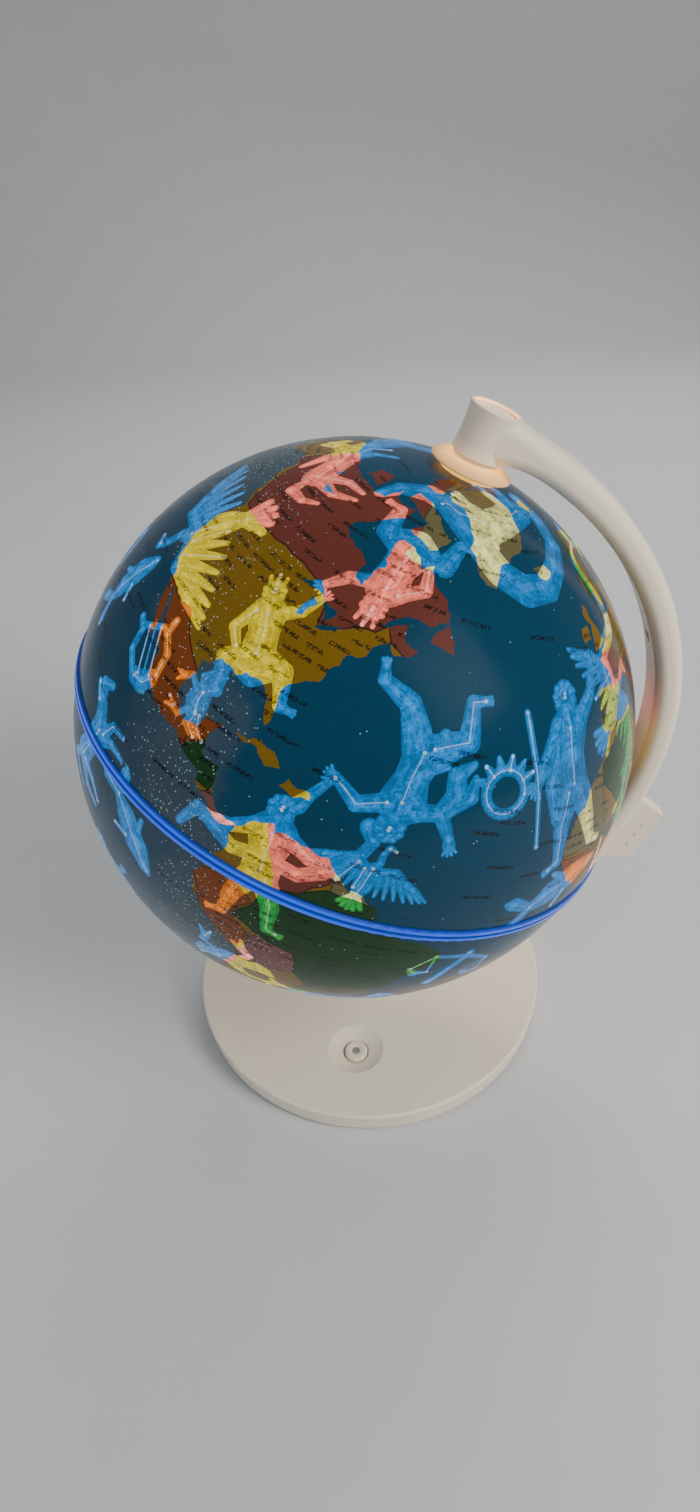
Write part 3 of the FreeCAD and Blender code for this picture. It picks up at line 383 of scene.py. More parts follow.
AUSTRALIA = """114 -22 114 -26.5 115.5 -34 124 -33.5 131.5 -31.5 138 -35.5 143.5 -38.7 150 -37.5
153.3 -28 146 -19 142.5 -10.8 141 -17.3 136 -12 131 -12 126 -14 122 -18"""
ANTARCTICA = """-180 -78 -150 -76 -120 -73.5 -100 -73 -75 -71 -62 -64 -60 -72 -62 -77 -40 -78 -20 -73
0 -70 30 -69.5 60 -67 90 -66.5 120 -66.7 150 -69 165 -72 168 -77.5 180 -78"""
GREENLAND = """-73 78.2 -66 80.5 -55 82 -33 83.4 -18 81 -19 76 -22 72 -25 70 -33 67.5 -40 65 -43 60
-49 61.5 -53.5 66.5 -54 70.5 -59 75.5 -69 76"""
ISLANDS = """-62 66.5 -68 62.7 -78 65 -73 68 -82 70 -89 71 -88 73.6 -78 73 -70 70.5
-105 69 -117 69.5 -118 72.5 -108 73.3
-77 76.5 -90 76.5 -92 80 -83 83 -62 82.5 -75 78.5
-53 47 -59 47.7 -56 51.4 -53.5 49
-84.5 22 -80 23 -75 20.6 -77.5 19.8 -80 21.7
-74 18.3 -73 19.9 -69 19.4 -68.5 18.3
-22 64 -24 65.6 -16 66.4 -13.6 65 -18.5 63.4
-5.5 50.1 1.4 51.2 0 53.5 -2 57.5 -4 58.5 -5.8 56.5 -3.2 54.5 -4.7 52
-10 51.6 -6.3 52.2 -6 54.7 -9.8 54.2
44 -20 44.3 -16 49.3 -12 50.3 -16 47 -25 43.8 -23.5
131 -1 138 -1.6 147 -6 150.5 -10.5 143 -9 138 -8.3 133 -4
109 1.5 117 7 119 1 116 -4 110.5 -3
95.3 5.6 104 -2 106 -5.8 100.5 -1
105.2 -6.8 114.5 -7.8 114 -8.7 106 -7.4
130 31.5 130.5 34 136 36 140 41 145 43.5 141 45.4 140.5 35.5 135.5 33.6
166.5 -46 172.7 -34.5 178.5 -37.8 174 -41.5 170.5 -46
120.5 18.3 122 18.3 126.4 7 122 7 122 13
11 79 16 80 27 80 17 76.6
52 71 57 75.5 68 77 57 70.7"""
LAKES = """-92 46.7 -88 48.8 -84.6 46.6 -88 46.9
-87.8 42 -87 45.7 -85.2 45.2 -86.4 42.3
-84.5 46 -80.2 45.5 -82 43.2 -83.3 45
-83.3 41.8 -79 42.8 -76.3 44 -79.5 43.4
-123 66 -119 66.5 -122 64.8
-117 62.5 -110 62 -114 60.8
47 45 53 46.5 51 43 53.8 40.5 53.5 37 49.5 37.5 49.5 40.5 47.5 43
32 0.5 34.5 0 33.5 -2.8 31.8 -2.2"""

# Country tints are coarse outlines, used only where they cross land.
TINTS = """red -141 72 -141 60 -135 59.5 -130 55.5 -123 49 -95 49 -89 48 -84 46 -82.5 42 -79 43 -75 45
-71 45.5 -69 47.3 -67 45 -60 42 -50 46 -55 60 -62 67 -76 78 -60 83.5 -120 80
orange -118 32.6 -111 31.3 -106.5 31.8 -103 29 -97 25.9 -94 20 -86 22 -88 18 -92 14.5 -100 14 -118 20
green -92 18.2 -88 18 -82 16 -84 11 -92 12.5
pink -84 11 -82 12 -77 9 -80 6.5 -86 10
red -73 12.5 -60 10.5 -60 6 -64 2 -68 1 -70 6
tan -60 9 -51 5 -53 2 -60 2
green -60 5 -51 4.5 -34 -3 -34 -15 -48 -29 -54 -34 -57.5 -30 -54 -25 -58 -20 -60 -13 -68 -11 -73 -9
-70 -4 -69 1 -64 2
orange -82 -3 -75 0 -70 -4 -73 -9 -69 -12 -70 -18.5 -78 -14
pink -69 -12 -60 -13 -58 -20 -63 -22 -69 -22
red -72 -18 -69 -19 -71 -38 -72 -52 -68 -55 -78 -52 -75 -35
olive -10 44 3 43 0 36 -9 36
red -5 49 8 49 7 43 -2 43
tan 6 55 14 55 14 47 7 47
orange 7 46 19 46 18 37 8 38
green 5 58 12 59 14 66 30 72 8 66
gold 12 60 20 60 24 66 13 65
pink 21 60 30 60 30 70 23 68
red 28 42 44 42 44 36 26 36
olive 28 50 60 50 60 78 28 70
green 60 50 90 50 100 78 60 78
olive 90 50 192 48 192 75 100 78
orange 74 48 120 50 134 48 122 20 98 22 74 36
gold 88 50 98 51 118 49 100 42
pink 68 36 89 28 92 21 77 6 67 24
red 34 32 60 25 56 15 40 12
tan -18 28 -9 31 -8 27 -4 16 -18 15
green -9 31 -1 36 9 37 10 20 4 19 -8 27
gold 9 31 25 32 25 20 10 22
red 25 32 35 32 37 22 25 22
green -4 16 4 19 14 22 14 13 3 12
orange -18 15 -4 15 -4 4 -14 8
pink -3 11 3 12 3 5 -3 5
red 3 14 14 13 9 4 3 5
gold 22 22 38 20 36 4 24 8
green 12 5 30 5 30 -12 16 -9
orange 34 5 44 12 52 12 42 -2 34 -2
tan 12 -9 24 -12 24 -18 11 -18
pink 24 -9 34 -9 40 -18 30 -22 22 -17
olive 12 -18 20 -18 20 -29 15 -29
red 16 -29 26 -26 33 -28 28 -35 17 -35
orange 113 -14 129 -14 129 -34 113 -36
gold 129 -10 138 -10 141 -26 129 -26
green 138 -10 155 -28 141 -28
red 141 -28 155 -28 151 -39 141 -39
tan -75 60 -10 60 -10 84 -75 84"""


def numbers(line):
    values = [float(v) for v in line.split()]
    return list(zip(values[::2], values[1::2]))


def block(text):
    return [numbers(line) for line in text.splitlines()]


LAND = [numbers(t.replace("\n", " ")) for t in
        (NORTH_AMERICA, SOUTH_AMERICA, EURASIA, AFRICA, AUSTRALIA, ANTARCTICA, GREENLAND)] + block(ISLANDS)


def tint_shapes():
    """Rejoins each tint's wrapped lines: a line that starts with a word starts a new outline."""
    shapes = []
    for line in TINTS.splitlines():
        head = line.split()[0]
        if head[0].isalpha():
            shapes.append([head, line[len(head):]])
        else:
            shapes[-1][1] += " " + line
    return [(name, numbers(rest)) for name, rest in shapes]


# Per tint: the colour of the unlit print in sRGB, and the lamp's linear colour through a lit figure.
INK = {
    "sea": ((0.03, 0.18, 0.26), (0.0, 0.19, 0.60)),
    "ice": ((0.30, 0.36, 0.38), (0.55, 0.95, 1.2)),
    "red": ((0.31, 0.145, 0.115), (1.30, 0.25, 0.17)),
    "gold": ((0.36, 0.27, 0.04), (0.68, 0.56, 0.0)),
    "orange": ((0.37, 0.18, 0.05), (0.85, 0.20, 0.0)),
    "tan": ((0.30, 0.28, 0.18), (1.0, 0.98, 0.30)),
    "green": ((0.06, 0.18, 0.08), (0.012, 0.36, 0.04)),
    "olive": ((0.16, 0.19, 0.08), (0.5, 0.62, 0.03)),
    "pink": ((0.36, 0.22, 0.21), (1.6, 0.50, 0.45)),
}


# ---- Sphere geometry -----------------------------------------------------------------------------


# The least share of a degree's width that is kept near the poles, so that outlines stay finite there.
LEAST_SHRINK = 0.15
PRINT_SEED = 11
# Step and wobble of the broken outlines, in degrees.
COAST_GRAIN = (1.4, 0.16)
LAKE_GRAIN = (1.2, 0.14)
TINT_GRAIN = (2.4, 0.06)


def direction(lon, lat):
    """The unit direction of a map place, in the ball's own frame."""
    a, b = math.radians(lon + MAP_TURN), math.radians(lat)
    return Vector((math.cos(b) * math.cos(a), math.cos(b) * math.sin(a), math.sin(b)))


def to_chart(v, side):
    """Flattens a direction onto a disc round one pole, with degrees from the pole as its radius."""
    r = 90.0 - math.degrees(math.asin(max(-1.0, min(1.0, side * v.z))))
    a = math.atan2(v.y, v.x)
    return Vector((r * math.cos(a), r * math.sin(a)))


def from_chart(p, side):
    r = math.radians(p.length)
    a = math.atan2(p.y, p.x)
    return Vector((math.sin(r) * math.cos(a), math.sin(r) * math.sin(a), side * math.cos(r)))


def roughen(points, step, wobble, rng):
    """Closes an outline and breaks each side into natural, slightly uneven pieces."""
    out = []
    for (x0, y0), (x1, y1) in zip(points, points[1:] + points[:1]):
        shrink = max(LEAST_SHRINK, math.cos(math.radians((y0 + y1) / 2)))
        span = [(x0, y0), (x1, y1)]
        length = math.hypot((x1 - x0) * shrink, y1 - y0)
        while length > step:
            finer = [span[0]]
            for a, b in zip(span, span[1:]):
                push = rng.uniform(-wobble, wobble)
                finer.append(((a[0] + b[0]) / 2 - (b[1] - a[1]) * push / shrink,
                              (a[1] + b[1]) / 2 + (b[0] - a[0]) * push * shrink))
                finer.append(b)
            span = finer
            length /= 2
        out += span[:-1]
    return out


# ---- Constellation figures, drawn as chains of round limbs: x, y and radius in degrees -----------

RUNNER = """0 0 1.9 .3 3.4 1.6 .2 6.4 2.3
.2 6.6 1 .3 8.2 .9
.3 9.8 1.35 .3 10.1 1.3
-1.6 7 .95 -4.8 6.1 .8 -7.2 8.7 .55 -7.6 9.4 .7
1.9 7 .95 5.2 8.5 .8 8 6.7 .55 8.6 6.5 .65
8.6 6.5 .35 10.6 9.8 .6 11.4 11.4 .9
-1 -.8 1.35 -4.7 -3 1.1 -3.5 -7.6 .7 -5 -8.3 .45
1.1 -.8 1.35 3.6 -4.7 1.05 7.4 -6.2 .65 7.8 -7.8 .4
-2 .8 .6 -3.6 -1.6 .8 -1.6 -2.8 .6
2 .4 .6 2.8 -2.2 .8
-4.6 5.8 .7 -5.8 3.4 1.1 -4.8 1.2 .9 -6.4 -.8 .4
-5.8 5.6 .5 -7.6 3 .8 -7.2 .6 .35
0 5 .5 -1.2 2 .45 -3.4 .6 .3"""
WALKER = """0 0 1.8 -.2 3.4 1.5 0 6.4 2.2
0 6.6 1 0 8.4 .85
0 9.8 1.3 .1 10.2 1.2
-1.8 6.9 .9 -4 4 .75 -5.6 1.4 .5
-5.6 -6 .3 -5.8 9.5 .35
1.8 6.9 .9 4.6 9.2 .7 6.2 12.2 .5
-.9 -.8 1.3 -1.9 -5 1 -1.6 -9.6 .6 -2.9 -10.2 .45
1 -.8 1.3 2.8 -4.8 1 4.6 -8.8 .6 6 -9.2 .45
-1.9 5.4 .6 -3.4 .8 1 -2.8 -3.4 .7"""
HOLDER = """0 0 2 0 3.2 1.8 0 5.8 2.4
0 6 1 0 7.8 .9
0 9.2 1.3 .1 9.6 1.2
-1.9 6.2 .9 -5.2 4.4 .75 -8.2 4 .55
1.9 6.2 .9 5.2 4.4 .75 8.2 4 .55
-1 -1 1.3 -2.6 -5 1 -3.4 -9.4 .6 -4.8 -9.8 .4
1 -1 1.3 2.6 -5 1 3 -9.4 .6 4.4 -9.8 .4
-12 1 .5 -10 4.4 .7 -7.4 3.2 .8 -4.4 1.6 .8 0 2.2 .8 4.4 1.6 .8 7.4 3.2 .8 10 5.4 .7 11.6 9.2 .6 10.4 11 .9"""
SEATED = """0 0 2 .2 3 1.7 0 5.6 2.1
0 5.8 1 0 7.4 .85
0 8.8 1.2 0 9.2 1.1
-1 9.8 .3 -1.2 11 .25
0 10 .3 0 11.4 .25
1 9.8 .3 1.2 11 .25
-1.7 5.8 .8 -4.2 3.2 .7 -3.2 .6 .5
1.7 5.8 .8 4.6 6.8 .7 6.6 9 .5
-1 -.6 1.4 -4.4 -1.2 1.1 -4.6 -5.8 .7 -6 -6.2 .4
1 -.6 1.4 4.2 -1.8 1.1 4.6 -6.2 .7 6 -6.6 .4
-2.4 -2 .8 0 -3 1.2 2.6 -2.4 .8"""
BEAR = """-4.5 .4 2.3 0 1 2.2 4.4 .8 2.5
4.8 1.2 1.9 7.6 2.3 1.4 9.8 1.7 .75
7 3.5 .5 7.3 4.2 .35
-4.6 -1 1.1 -5.7 -4.2 .8 -4.8 -6.8 .55 -3.8 -7 .4
-3 -1 1.1 -2.3 -4.4 .75 -2.9 -6.8 .5 -1.9 -7 .4
3.6 -1 1 4.5 -4.4 .75 3.5 -6.8 .5 4.5 -7 .4
5.5 -.6 1 7.5 -3.6 .7 7.3 -6.2 .45 8.2 -6.4 .35
-6.6 1 .5 -8.6 2 .4 -10.4 1.2 .3"""
LION = """-4.8 .8 1.7 0 .8 1.6 4.2 1.6 2.2
5 2.6 2.5 6.6 4 2.3
7.4 4 1.1 9.2 3.2 .7
5.2 6.4 .8 6.4 6.8 .8 8 6.2 .6
-5.2 -.2 1.2 -6.8 -3.4 .8 -5.6 -6.4 .5 -4.6 -6.6 .4
-4.2 -.2 1 -3 -3.6 .7 -3.8 -6.4 .45 -2.8 -6.6 .35
4 0 1 4.4 -3.6 .7 3.6 -6.4 .45 4.7 -6.6 .35
5.4 .6 1 7.8 -2 .7 9 -4.2 .45 10 -4 .35
-6.2 1.6 .45 -9 3.2 .35 -9.6 6 .3 -8.6 7.4 .7"""
HORSE = """-4.2 .6 1.8 0 .4 1.5 4 1 1.9
4.8 1.8 1.4 6.8 5 1 7.4 6.6 .8 9.6 5.2 .5
5.6 5 .6 6.2 7.4 .5
-4.8 -.4 1 -6.6 -3.6 .6 -6 -7 .35
-3.8 -.6 .9 -3.2 -4 .55 -4.2 -7 .35
4 -.4 .9 6.4 -2 .55 7.6 -4.8 .35
4.8 0 .9 8 0 .5 9.6 -2.4 .35
-5.8 1.4 .5 -8.2 2.2 .7 -9.6 -.6 .5 -9.2 -3 .3"""
FISH = """-5 0 .6 -2 .4 1.6 2 .3 1.8 5 0 1 6 0 .6
-5 0 .5 -7.4 2.4 .8 -8.4 3 .3
-5 0 .5 -7.6 -2 .8 -8.6 -2.6 .3
0 1.8 .5 -1.6 3.6 .3
.6 -1.4 .5 -1 -3.2 .3"""
LYRE = """-1.8 -3 1 0 -3.8 1.2 1.8 -3 1
-2.6 -2.4 .5 -3.8 .6 .5 -2.6 3.4 .5 -3.6 5.2 .5
2.6 -2.4 .5 3.8 .6 .5 2.6 3.4 .5 3.6 5.2 .5
-3 4 .4 3 4 .4
-1.2 -2.6 .16 -1.2 4 .16
0 -2.6 .16 0 4 .16
1.2 -2.6 .16 1.2 4 .16"""
SCALES = """0 -5 .9 0 5 .5 0 5.8 .7
-6 4 .35 0 5 .5 6 4 .35
-6 4 .18 -7.8 -.6 .18
-6 4 .18 -4.2 -.6 .18
6 4 .18 7.8 -.6 .18
6 4 .18 4.2 -.6 .18
-8 -.8 .3 -6 -1.8 .8 -4 -.8 .3
8 -.8 .3 6 -1.8 .8 4 -.8 .3"""
SHIP = """-7 0 .8 -4 -2 1.6 2 -2.4 1.8 6.6 -.6 1.2 8.4 2 .5
0 -1 .4 0 9 .35
-4.4 2.4 .4 -3.6 7.6 .4
4.4 2.4 .4 3.6 7.6 .4
-4 7.6 .5 0 8.4 .5 4 7.6 .5
-4 5 1.2 0 5.4 1.4 4 5 1.2
-4.4 2.6 .5 0 3.2 .5 4.4 2.6 .5"""


def parse(text):
    shapes = []
    for line in text.splitlines():
        v = [float(s) for s in line.split()]
        shapes.append(list(zip(v[::3], v[1::3], v[2::3])))
    return shapes


def between(a, b, share):
    return tuple(u + (v - u) * share for u, v in zip(a, b))


def person(text, arms, legs, curls=7):
    """A human figure: the text's own limbs, then muscles, fingers, toes and curls laid over them."""
    shape = parse(text)
    extra = []
    for chain in (shape[i] for i in arms):
        (x0, y0, r0), (x1, y1, _) = chain[-2:]
        ahead = math.atan2(y1 - y0, x1 - x0)
        for spread in (-0.6, -0.2, 0.2, 0.65):
            a = ahead + spread
            extra.append([(x1, y1, 0.3), (x1 + 1.5 * math.cos(a), y1 + 1.5 * math.sin(a), 0.16)])
        x, y, r = chain[0]
        extra.append([(x, y, r * 1.15), (*between(chain[0], chain[1], 0.2)[:2], r)])
        extra.append([(*between(chain[0], chain[1], 0.45)[:2], r * 0.95),
                      (*between(chain[0], chain[1], 0.7)[:2], r * 0.85)])
    for hip, knee, ankle, toe in (shape[i] for i in legs):
        extra.append([(*between(hip, knee, 0.25)[:2], hip[2] * 1.05),
                      (*between(hip, knee, 0.6)[:2], hip[2] * 0.92)])
        extra.append([(*knee[:2], knee[2] * 0.8), (*between(knee, ankle, 0.12)[:2], knee[2] * 0.72)])
        extra.append([(*between(knee, ankle, 0.25)[:2], knee[2] * 0.95),
                      (*between(knee, ankle, 0.5)[:2], knee[2] * 0.8)])
        ahead = math.atan2(toe[1] - ankle[1], toe[0] - ankle[0])
        for spread in (-0.5, 0.0, 0.5):
            a = ahead + spread
            extra.append([toe, (toe[0] + 0.9 * math.cos(a), toe[1] + 0.9 * math.sin(a), 0.2)])
    chest = shape[0][2][1] - 0.9
    for side in (-1, 1):
        extra.append([(side * 0.6, chest, 0.8), (side * 1.15, chest + 0.2, 0.75)])
        extra.append([(side * 0.45, chest - 1.6, 0.42), (side * 0.45, chest - 3.0, 0.36)])
    x, y, r = shape[2][0]
    for k in range(curls):
        a = math.radians(-25 + 230 * k / (curls - 1))
        curl_x, curl_y = x + 0.95 * r * math.cos(a), y + 0.95 * r * math.sin(a)
        extra.append([(curl_x, curl_y, 0.42 * r),
                      (curl_x + 0.2 * math.cos(a), curl_y + 0.2 * math.sin(a), 0.34 * r)])
    return shape + extra


def serpent(half=14.0, swell=2.6, turns=1.6, girth=1.1):
    body = []
    steps = 26
    for i in range(steps + 1):
        t = i / steps
        taper = 0.25 + 0.75 * math.sin(math.pi * min(1.0, 0.12 + t)) ** 0.5
        body.append(((2 * t - 1) * half, swell * math.sin(2 * math.pi * turns * t), girth * taper))
    x, y, _ = body[-1]
    head = [(x, y, girth), (x + 1.8, y + 0.9, girth * 1.05), (x + 3.4, y + 1.1, girth * 0.45)]
    return [body, head]


def bird(span=9.5, feathers=8):
    """A gliding bird: long neck, fanned tail and two wings of feathers under a bent leading edge."""
    parts = [[(0, -4.5, 0.7), (0, -1.6, 1.5), (0, 1.2, 1.7), (0, 2.8, 1.1)],
             [(0, 2.6, 0.9), (0.6, 4.4, 0.6), (0.2, 6.6, 0.5), (0.8, 7.8, 0.6)],
             [(0.8, 7.8, 0.7), (2.2, 7.7, 0.22)]]
    for side in (-1, 1):
        joints = ((0.8, 1.8), (span * 0.45, 3.6), (span, 1.4))
        parts.append([(side * x, y, r) for (x, y), r in zip(joints, (1.1, 0.9, 0.4))])
        for k in range(feathers):
            t = (k + 0.7) / feathers * 2
            (x0, y0), (x1, y1) = joints[int(min(t, 1.999))], joints[int(min(t, 1.999)) + 1]
            t -= int(min(t, 1.999))
            x, y = x0 + (x1 - x0) * t, y0 + (y1 - y0) * t
            share = (k + 0.7) / feathers
            droop = math.radians(-97 + 76 * share)
            length = 4.0 + 2.2 * math.sin(math.pi * share)
            tip = (side * (x + length * math.cos(droop)), y + length * math.sin(droop), 0.26)
            parts.append([(side * x, y, 0.75), tip])
    for k in (-2, -1, 0, 1, 2):
        parts.append([(0, -4, 0.7), (1.2 * k, -7.6 + 0.25 * k * k, 0.42)])
    return parts


def crown(radius=3.6, points=7):
    ring = [(radius * math.cos(2 * math.pi * i / 24), radius * math.sin(2 * math.pi * i / 24), 0.75)
            for i in range(25)]
    parts = [ring]
    for i in range(points):
        a = math.pi * (0.08 + 0.84 * i / (points - 1))
        parts.append([(radius * math.cos(a), radius * math.sin(a), 0.8),
                      ((radius + 2.2) * math.cos(a), (radius + 2.2) * math.sin(a), 0.35)])
    return parts


def crab(legs=4, claw=3.0):
    parts = [[(-2, 0, 1.7), (0, 0.4, 2.2), (2, 0, 1.7)]]
    for side in (-1, 1):
        for k in range(legs):
            y = 0.8 - 1.1 * k
            parts.append([(side * 2.4, y * 0.5, 0.5), (side * 5, y + 0.8, 0.4), (side * 6.8, y - 1.2, 0.2)])
        parts.append([(side * 2, 1.6, 0.6), (side * 4.2, 3.8, 0.5), (side * 3.2, 5.6, 0.7)])
        parts.append([(side * 3.2, 5.6, 0.6), (side * 1.8, 5.6 + claw * 0.5, 0.25)])
        parts.append([(side * 3.2, 5.6, 0.6), (side * 3.6, 5.6 + claw * 0.7, 0.25)])
    return parts


def scorpion():
    tail = [(0, -1.6, 1.1), (0.4, -4.4, 0.9), (1.8, -7, 0.75), (4.4, -8, 0.6), (6.4, -6.4, 0.5),
            (6, -4.4, 0.3)]
    return crab(4, 4.0) + [tail]


# The people's limb texts, with the lines that are arms and the lines that are legs.
RUNNING_MAN = person(RUNNER, (3, 4), (6, 7))
WALKING_MAN = person(WALKER, (3, 5), (6, 7))
SNAKE_HOLDER = person(HOLDER, (3, 4), (5, 6))
SEATED_KING = person(SEATED, (6, 7), (8, 9))

# Each figure: shape, map longitude, latitude, turn from upright, size. Mirrored where the size is negative.
FIGURES = [
    (RUNNING_MAN, -53.5, 31.5, 176, 1.3), (crown(), -36, 28, 0, 1.0), (WALKING_MAN, -19, 29, 10, 1.5),
    (bird(), -2, 40, -50, 1.25), (SNAKE_HOLDER, -71, 3, 4, 1.3), (bird(), -55, 9, -8, 0.85),
    (parse(BEAR), -28, 77, -150, 1.1), (SEATED_KING, -73, 60, 176, 1.25), (bird(), -122, 42, 150, 1.5),
    (SEATED_KING, -89, 33.5, 24, 1.15), (parse(LYRE), -108, 21, 30, 1.2), (crab(), -93, 22, 100, 0.8),
    (parse(HORSE), -128, 66, 130, 1.2), (SEATED_KING, 165, 72, 60, 1.0),
    (parse(FISH), -128, 24, 70, 1.2), (parse(FISH), -96, -8, -50, 1.35),
    (parse(HORSE), -112, -2, 60, 1.25), (scorpion(), -70, -26, 20, 1.15),
    (parse(SCALES), -30, -12, -12, 1.1), (RUNNING_MAN, -108, -34, 0, -1.1),
    (parse(HORSE), -46, -34, 0, 1.2), (WALKING_MAN, 8, 4, 14, 1.35), (serpent(), 8, 56, 60, 1.1),
    (parse(LION), 38, 22, 10, 1.45), (crab(), 66, 24, 20, 1.2), (SEATED_KING, 92, 18, -10, 1.1),
    (SNAKE_HOLDER, 122, 4, 0, -1.15), (parse(LION), 146, 24, 0, -1.35), (WALKING_MAN, 172, 40, 0, 1.1),
    (parse(BEAR), 64, 60, -20, 1.5), (parse(HORSE), -156, 22, 10, -1.4), (parse(FISH), 176, 2, 20, 1.3),
    (parse(FISH), -168, -8, 200, 1.3), (parse(SHIP), 108, -48, 0, 1.35),
    (parse(BEAR), 128, -28, 0, 1.1), (serpent(16.0, 2.0, 1.2), 60, -12, -20, 1.0),
    (parse(HORSE), 2, -46, 0, 1.3), (bird(), 165, -62, 0, 1.0), (parse(FISH), -150, -34, 160, 1.2),
    (WALKING_MAN, -138, -20, 0, 1.2), (bird(), 34, -62, 30, 1.1), (parse(LYRE), -20, -68, 0, 1.1),
    (crab(), -100, -66, 40, 1.0), (parse(SCALES), 80, -34, 0, 1.1), (parse(FISH), 30, -34, -30, 1.2),
    (parse(FISH), -14, 8, 24, 1.5), (parse(FISH), 6, 27, 75, 1.1),
]

# A long dragon winds round the pole, as map places with a limb radius in degrees.
DRAGON = """-100 68 .8 -97 72 1.3 -84 75 1.9 -70 74.5 2 -58 71 2.1 -48 67 2.2 -41 63.5 2.3 -31 61 2.3
-20 62 2 -8 66 1.7 4 70 1.5 14 75 1.5 24 80 1.5"""
DRAGON_TAIL = """-133 60 .5 -140 67 1.2 -156 72 1.7 -178 76 1.8 160 82 1.7"""


# ---- The printed skin of one half of the ball ----------------------------------------------------

COAST, LAKE, TINT, BORDER, LIMB, CORE, GLINT, THREAD, RIM, HOLE = range(10)
GRID_STEP = 3.0
INSIDE_STEP = 6.0
LIMB_SIDES = 9
THREAD_HALF = 0.065
STAR_R = 0.32
BORDER_WIDTH = 0.3
GIRTH = 1.3
CDT_TOLERANCE = 1e-5
# Share of a limb's radius for its outline, its core and its highlight, with the highlight's sideways shift.
LIMB_BANDS = ((LIMB, 1.0, 0.0), (CORE, 0.66, 0.06), (GLINT, 0.26, 0.22))
# How strongly the lamp shines through the print at a vertex of each outline.
GLOW_AT = {LIMB: 0.46, CORE: 0.90, GLINT: 1.08}
PLAIN_GLOW = 0.84


def tangent(lon, lat, turn):
    """A frame on the sphere at a map place: centre, rightward and upward directions."""
    c = direction(lon, lat)
    east = Vector((0, 0, 1)).cross(c).normalized()
    north = c.cross(east)
    t = math.radians(turn)
    return c, east * math.cos(t) + north * math.sin(t), north * math.cos(t) - east * math.sin(t)


def on_sphere(basis, x, y):
    c, right, up = basis
    d = math.hypot(x, y)
    if d < 1e-9:
        return c.copy()
    ahead = (right * x + up * y) / d
    return c * math.cos(math.radians(d)) + ahead * math.sin(math.radians(d))


def hull_of_two(x0, y0, r0, x1, y1, r1):
    """The outline of a straight limb with a round end of its own radius at each end."""
    angle = math.atan2(y1 - y0, x1 - x0)
    lean = math.acos(max(-1.0, min(1.0, (r0 - r1) / max(1e-6, math.hypot(x1 - x0, y1 - y0)))))
    out = []
    for cx, cy, r, start, end in ((x1, y1, r1, angle - lean, angle + lean),
                                  (x0, y0, r0, angle + lean, angle - lean + 2 * math.pi)):
        for i in range(LIMB_SIDES):
            a = start + (end - start) * i / (LIMB_SIDES - 1)
            out.append((cx + r * math.cos(a), cy + r * math.sin(a)))
    return out


def limb_rings(basis, a, b, flip, scale):
    """The outline, core and highlight of one limb, as directions on the sphere."""
    (x0, y0, r0), (x1, y1, r1) = a, b
    out = []
    for kind, share, shift in LIMB_BANDS:
        s0, s1 = shift * r0, shift * r1
        ring = hull_of_two(x0 - s0, y0 + s0, r0 * share * GIRTH, x1 - s1, y1 + s1, r1 * share * GIRTH)
        out.append((kind, [on_sphere(basis, flip * x * scale, y * scale) for x, y in ring]))
    return out


def figure_outlines(shape, lon, lat, turn, size):
    """A figure's limbs, then the stick lines and stars that are drawn over it."""
    basis = tangent(lon, lat, turn)
    flip, scale = (-1 if size < 0 else 1), abs(size)
    out = []
    for limb in shape:
        for a, b in zip(limb, limb[1:]):
            out += limb_rings(basis, a, b, flip, scale)
    for limb in shape[:7:2]:
        ends = [(flip * x * scale, y * scale) for x, y, _ in limb]
        for a, b in zip(ends, ends[1:]):
            ring = hull_of_two(*a, THREAD_HALF, *b, THREAD_HALF)
            out.append((THREAD, [on_sphere(basis, x, y) for x, y in ring]))
        for x, y in (ends[0], ends[-1]):
            ring = [(x + STAR_R * math.cos(math.pi * i / 4), y + STAR_R * math.sin(math.pi * i / 4))
                    for i in range(8)]
            out.append((THREAD, [on_sphere(basis, *p) for p in ring]))
    return out


def map_limb(text):
    """A limb whose joints are map places."""
    v = [float(s) for s in text.split()]
    joints = list(zip(v[::3], v[1::3], v[2::3]))
    out = []
    for (lon0, lat0, r0), (lon1, lat1, r1) in zip(joints, joints[1:]):
        basis = tangent(lon0, lat0, 0.0)
        c, right, up = basis
        goal = direction(lon1, lat1)
        flat = Vector((goal.dot(right), goal.dot(up))).normalized() * math.degrees(c.angle(goal))
        out += limb_rings(basis, (0.0, 0.0, r0), (flat.x, flat.y, r1), 1, 1.0)
    return out


def inset(points, width):
    """A closed outline drawn in by width degrees, for the thin line along its inside."""
    area = sum(x0 * y1 - x1 * y0 for (x0, y0), (x1, y1) in zip(points, points[1:] + points[:1]))
    side = 1 if area > 0 else -1
    out = []
    for before, here, after in zip(points[-1:] + points[:-1], points, points[1:] + points[:1]):
        shrink = max(LEAST_SHRINK, math.cos(math.radians(here[1])))
        dx, dy = (after[0] - before[0]) * shrink, after[1] - before[1]
        length = math.hypot(dx, dy) or 1.0
        out.append((here[0] - side * dy / length * width / shrink, here[1] + side * dx / length * width))
    return out


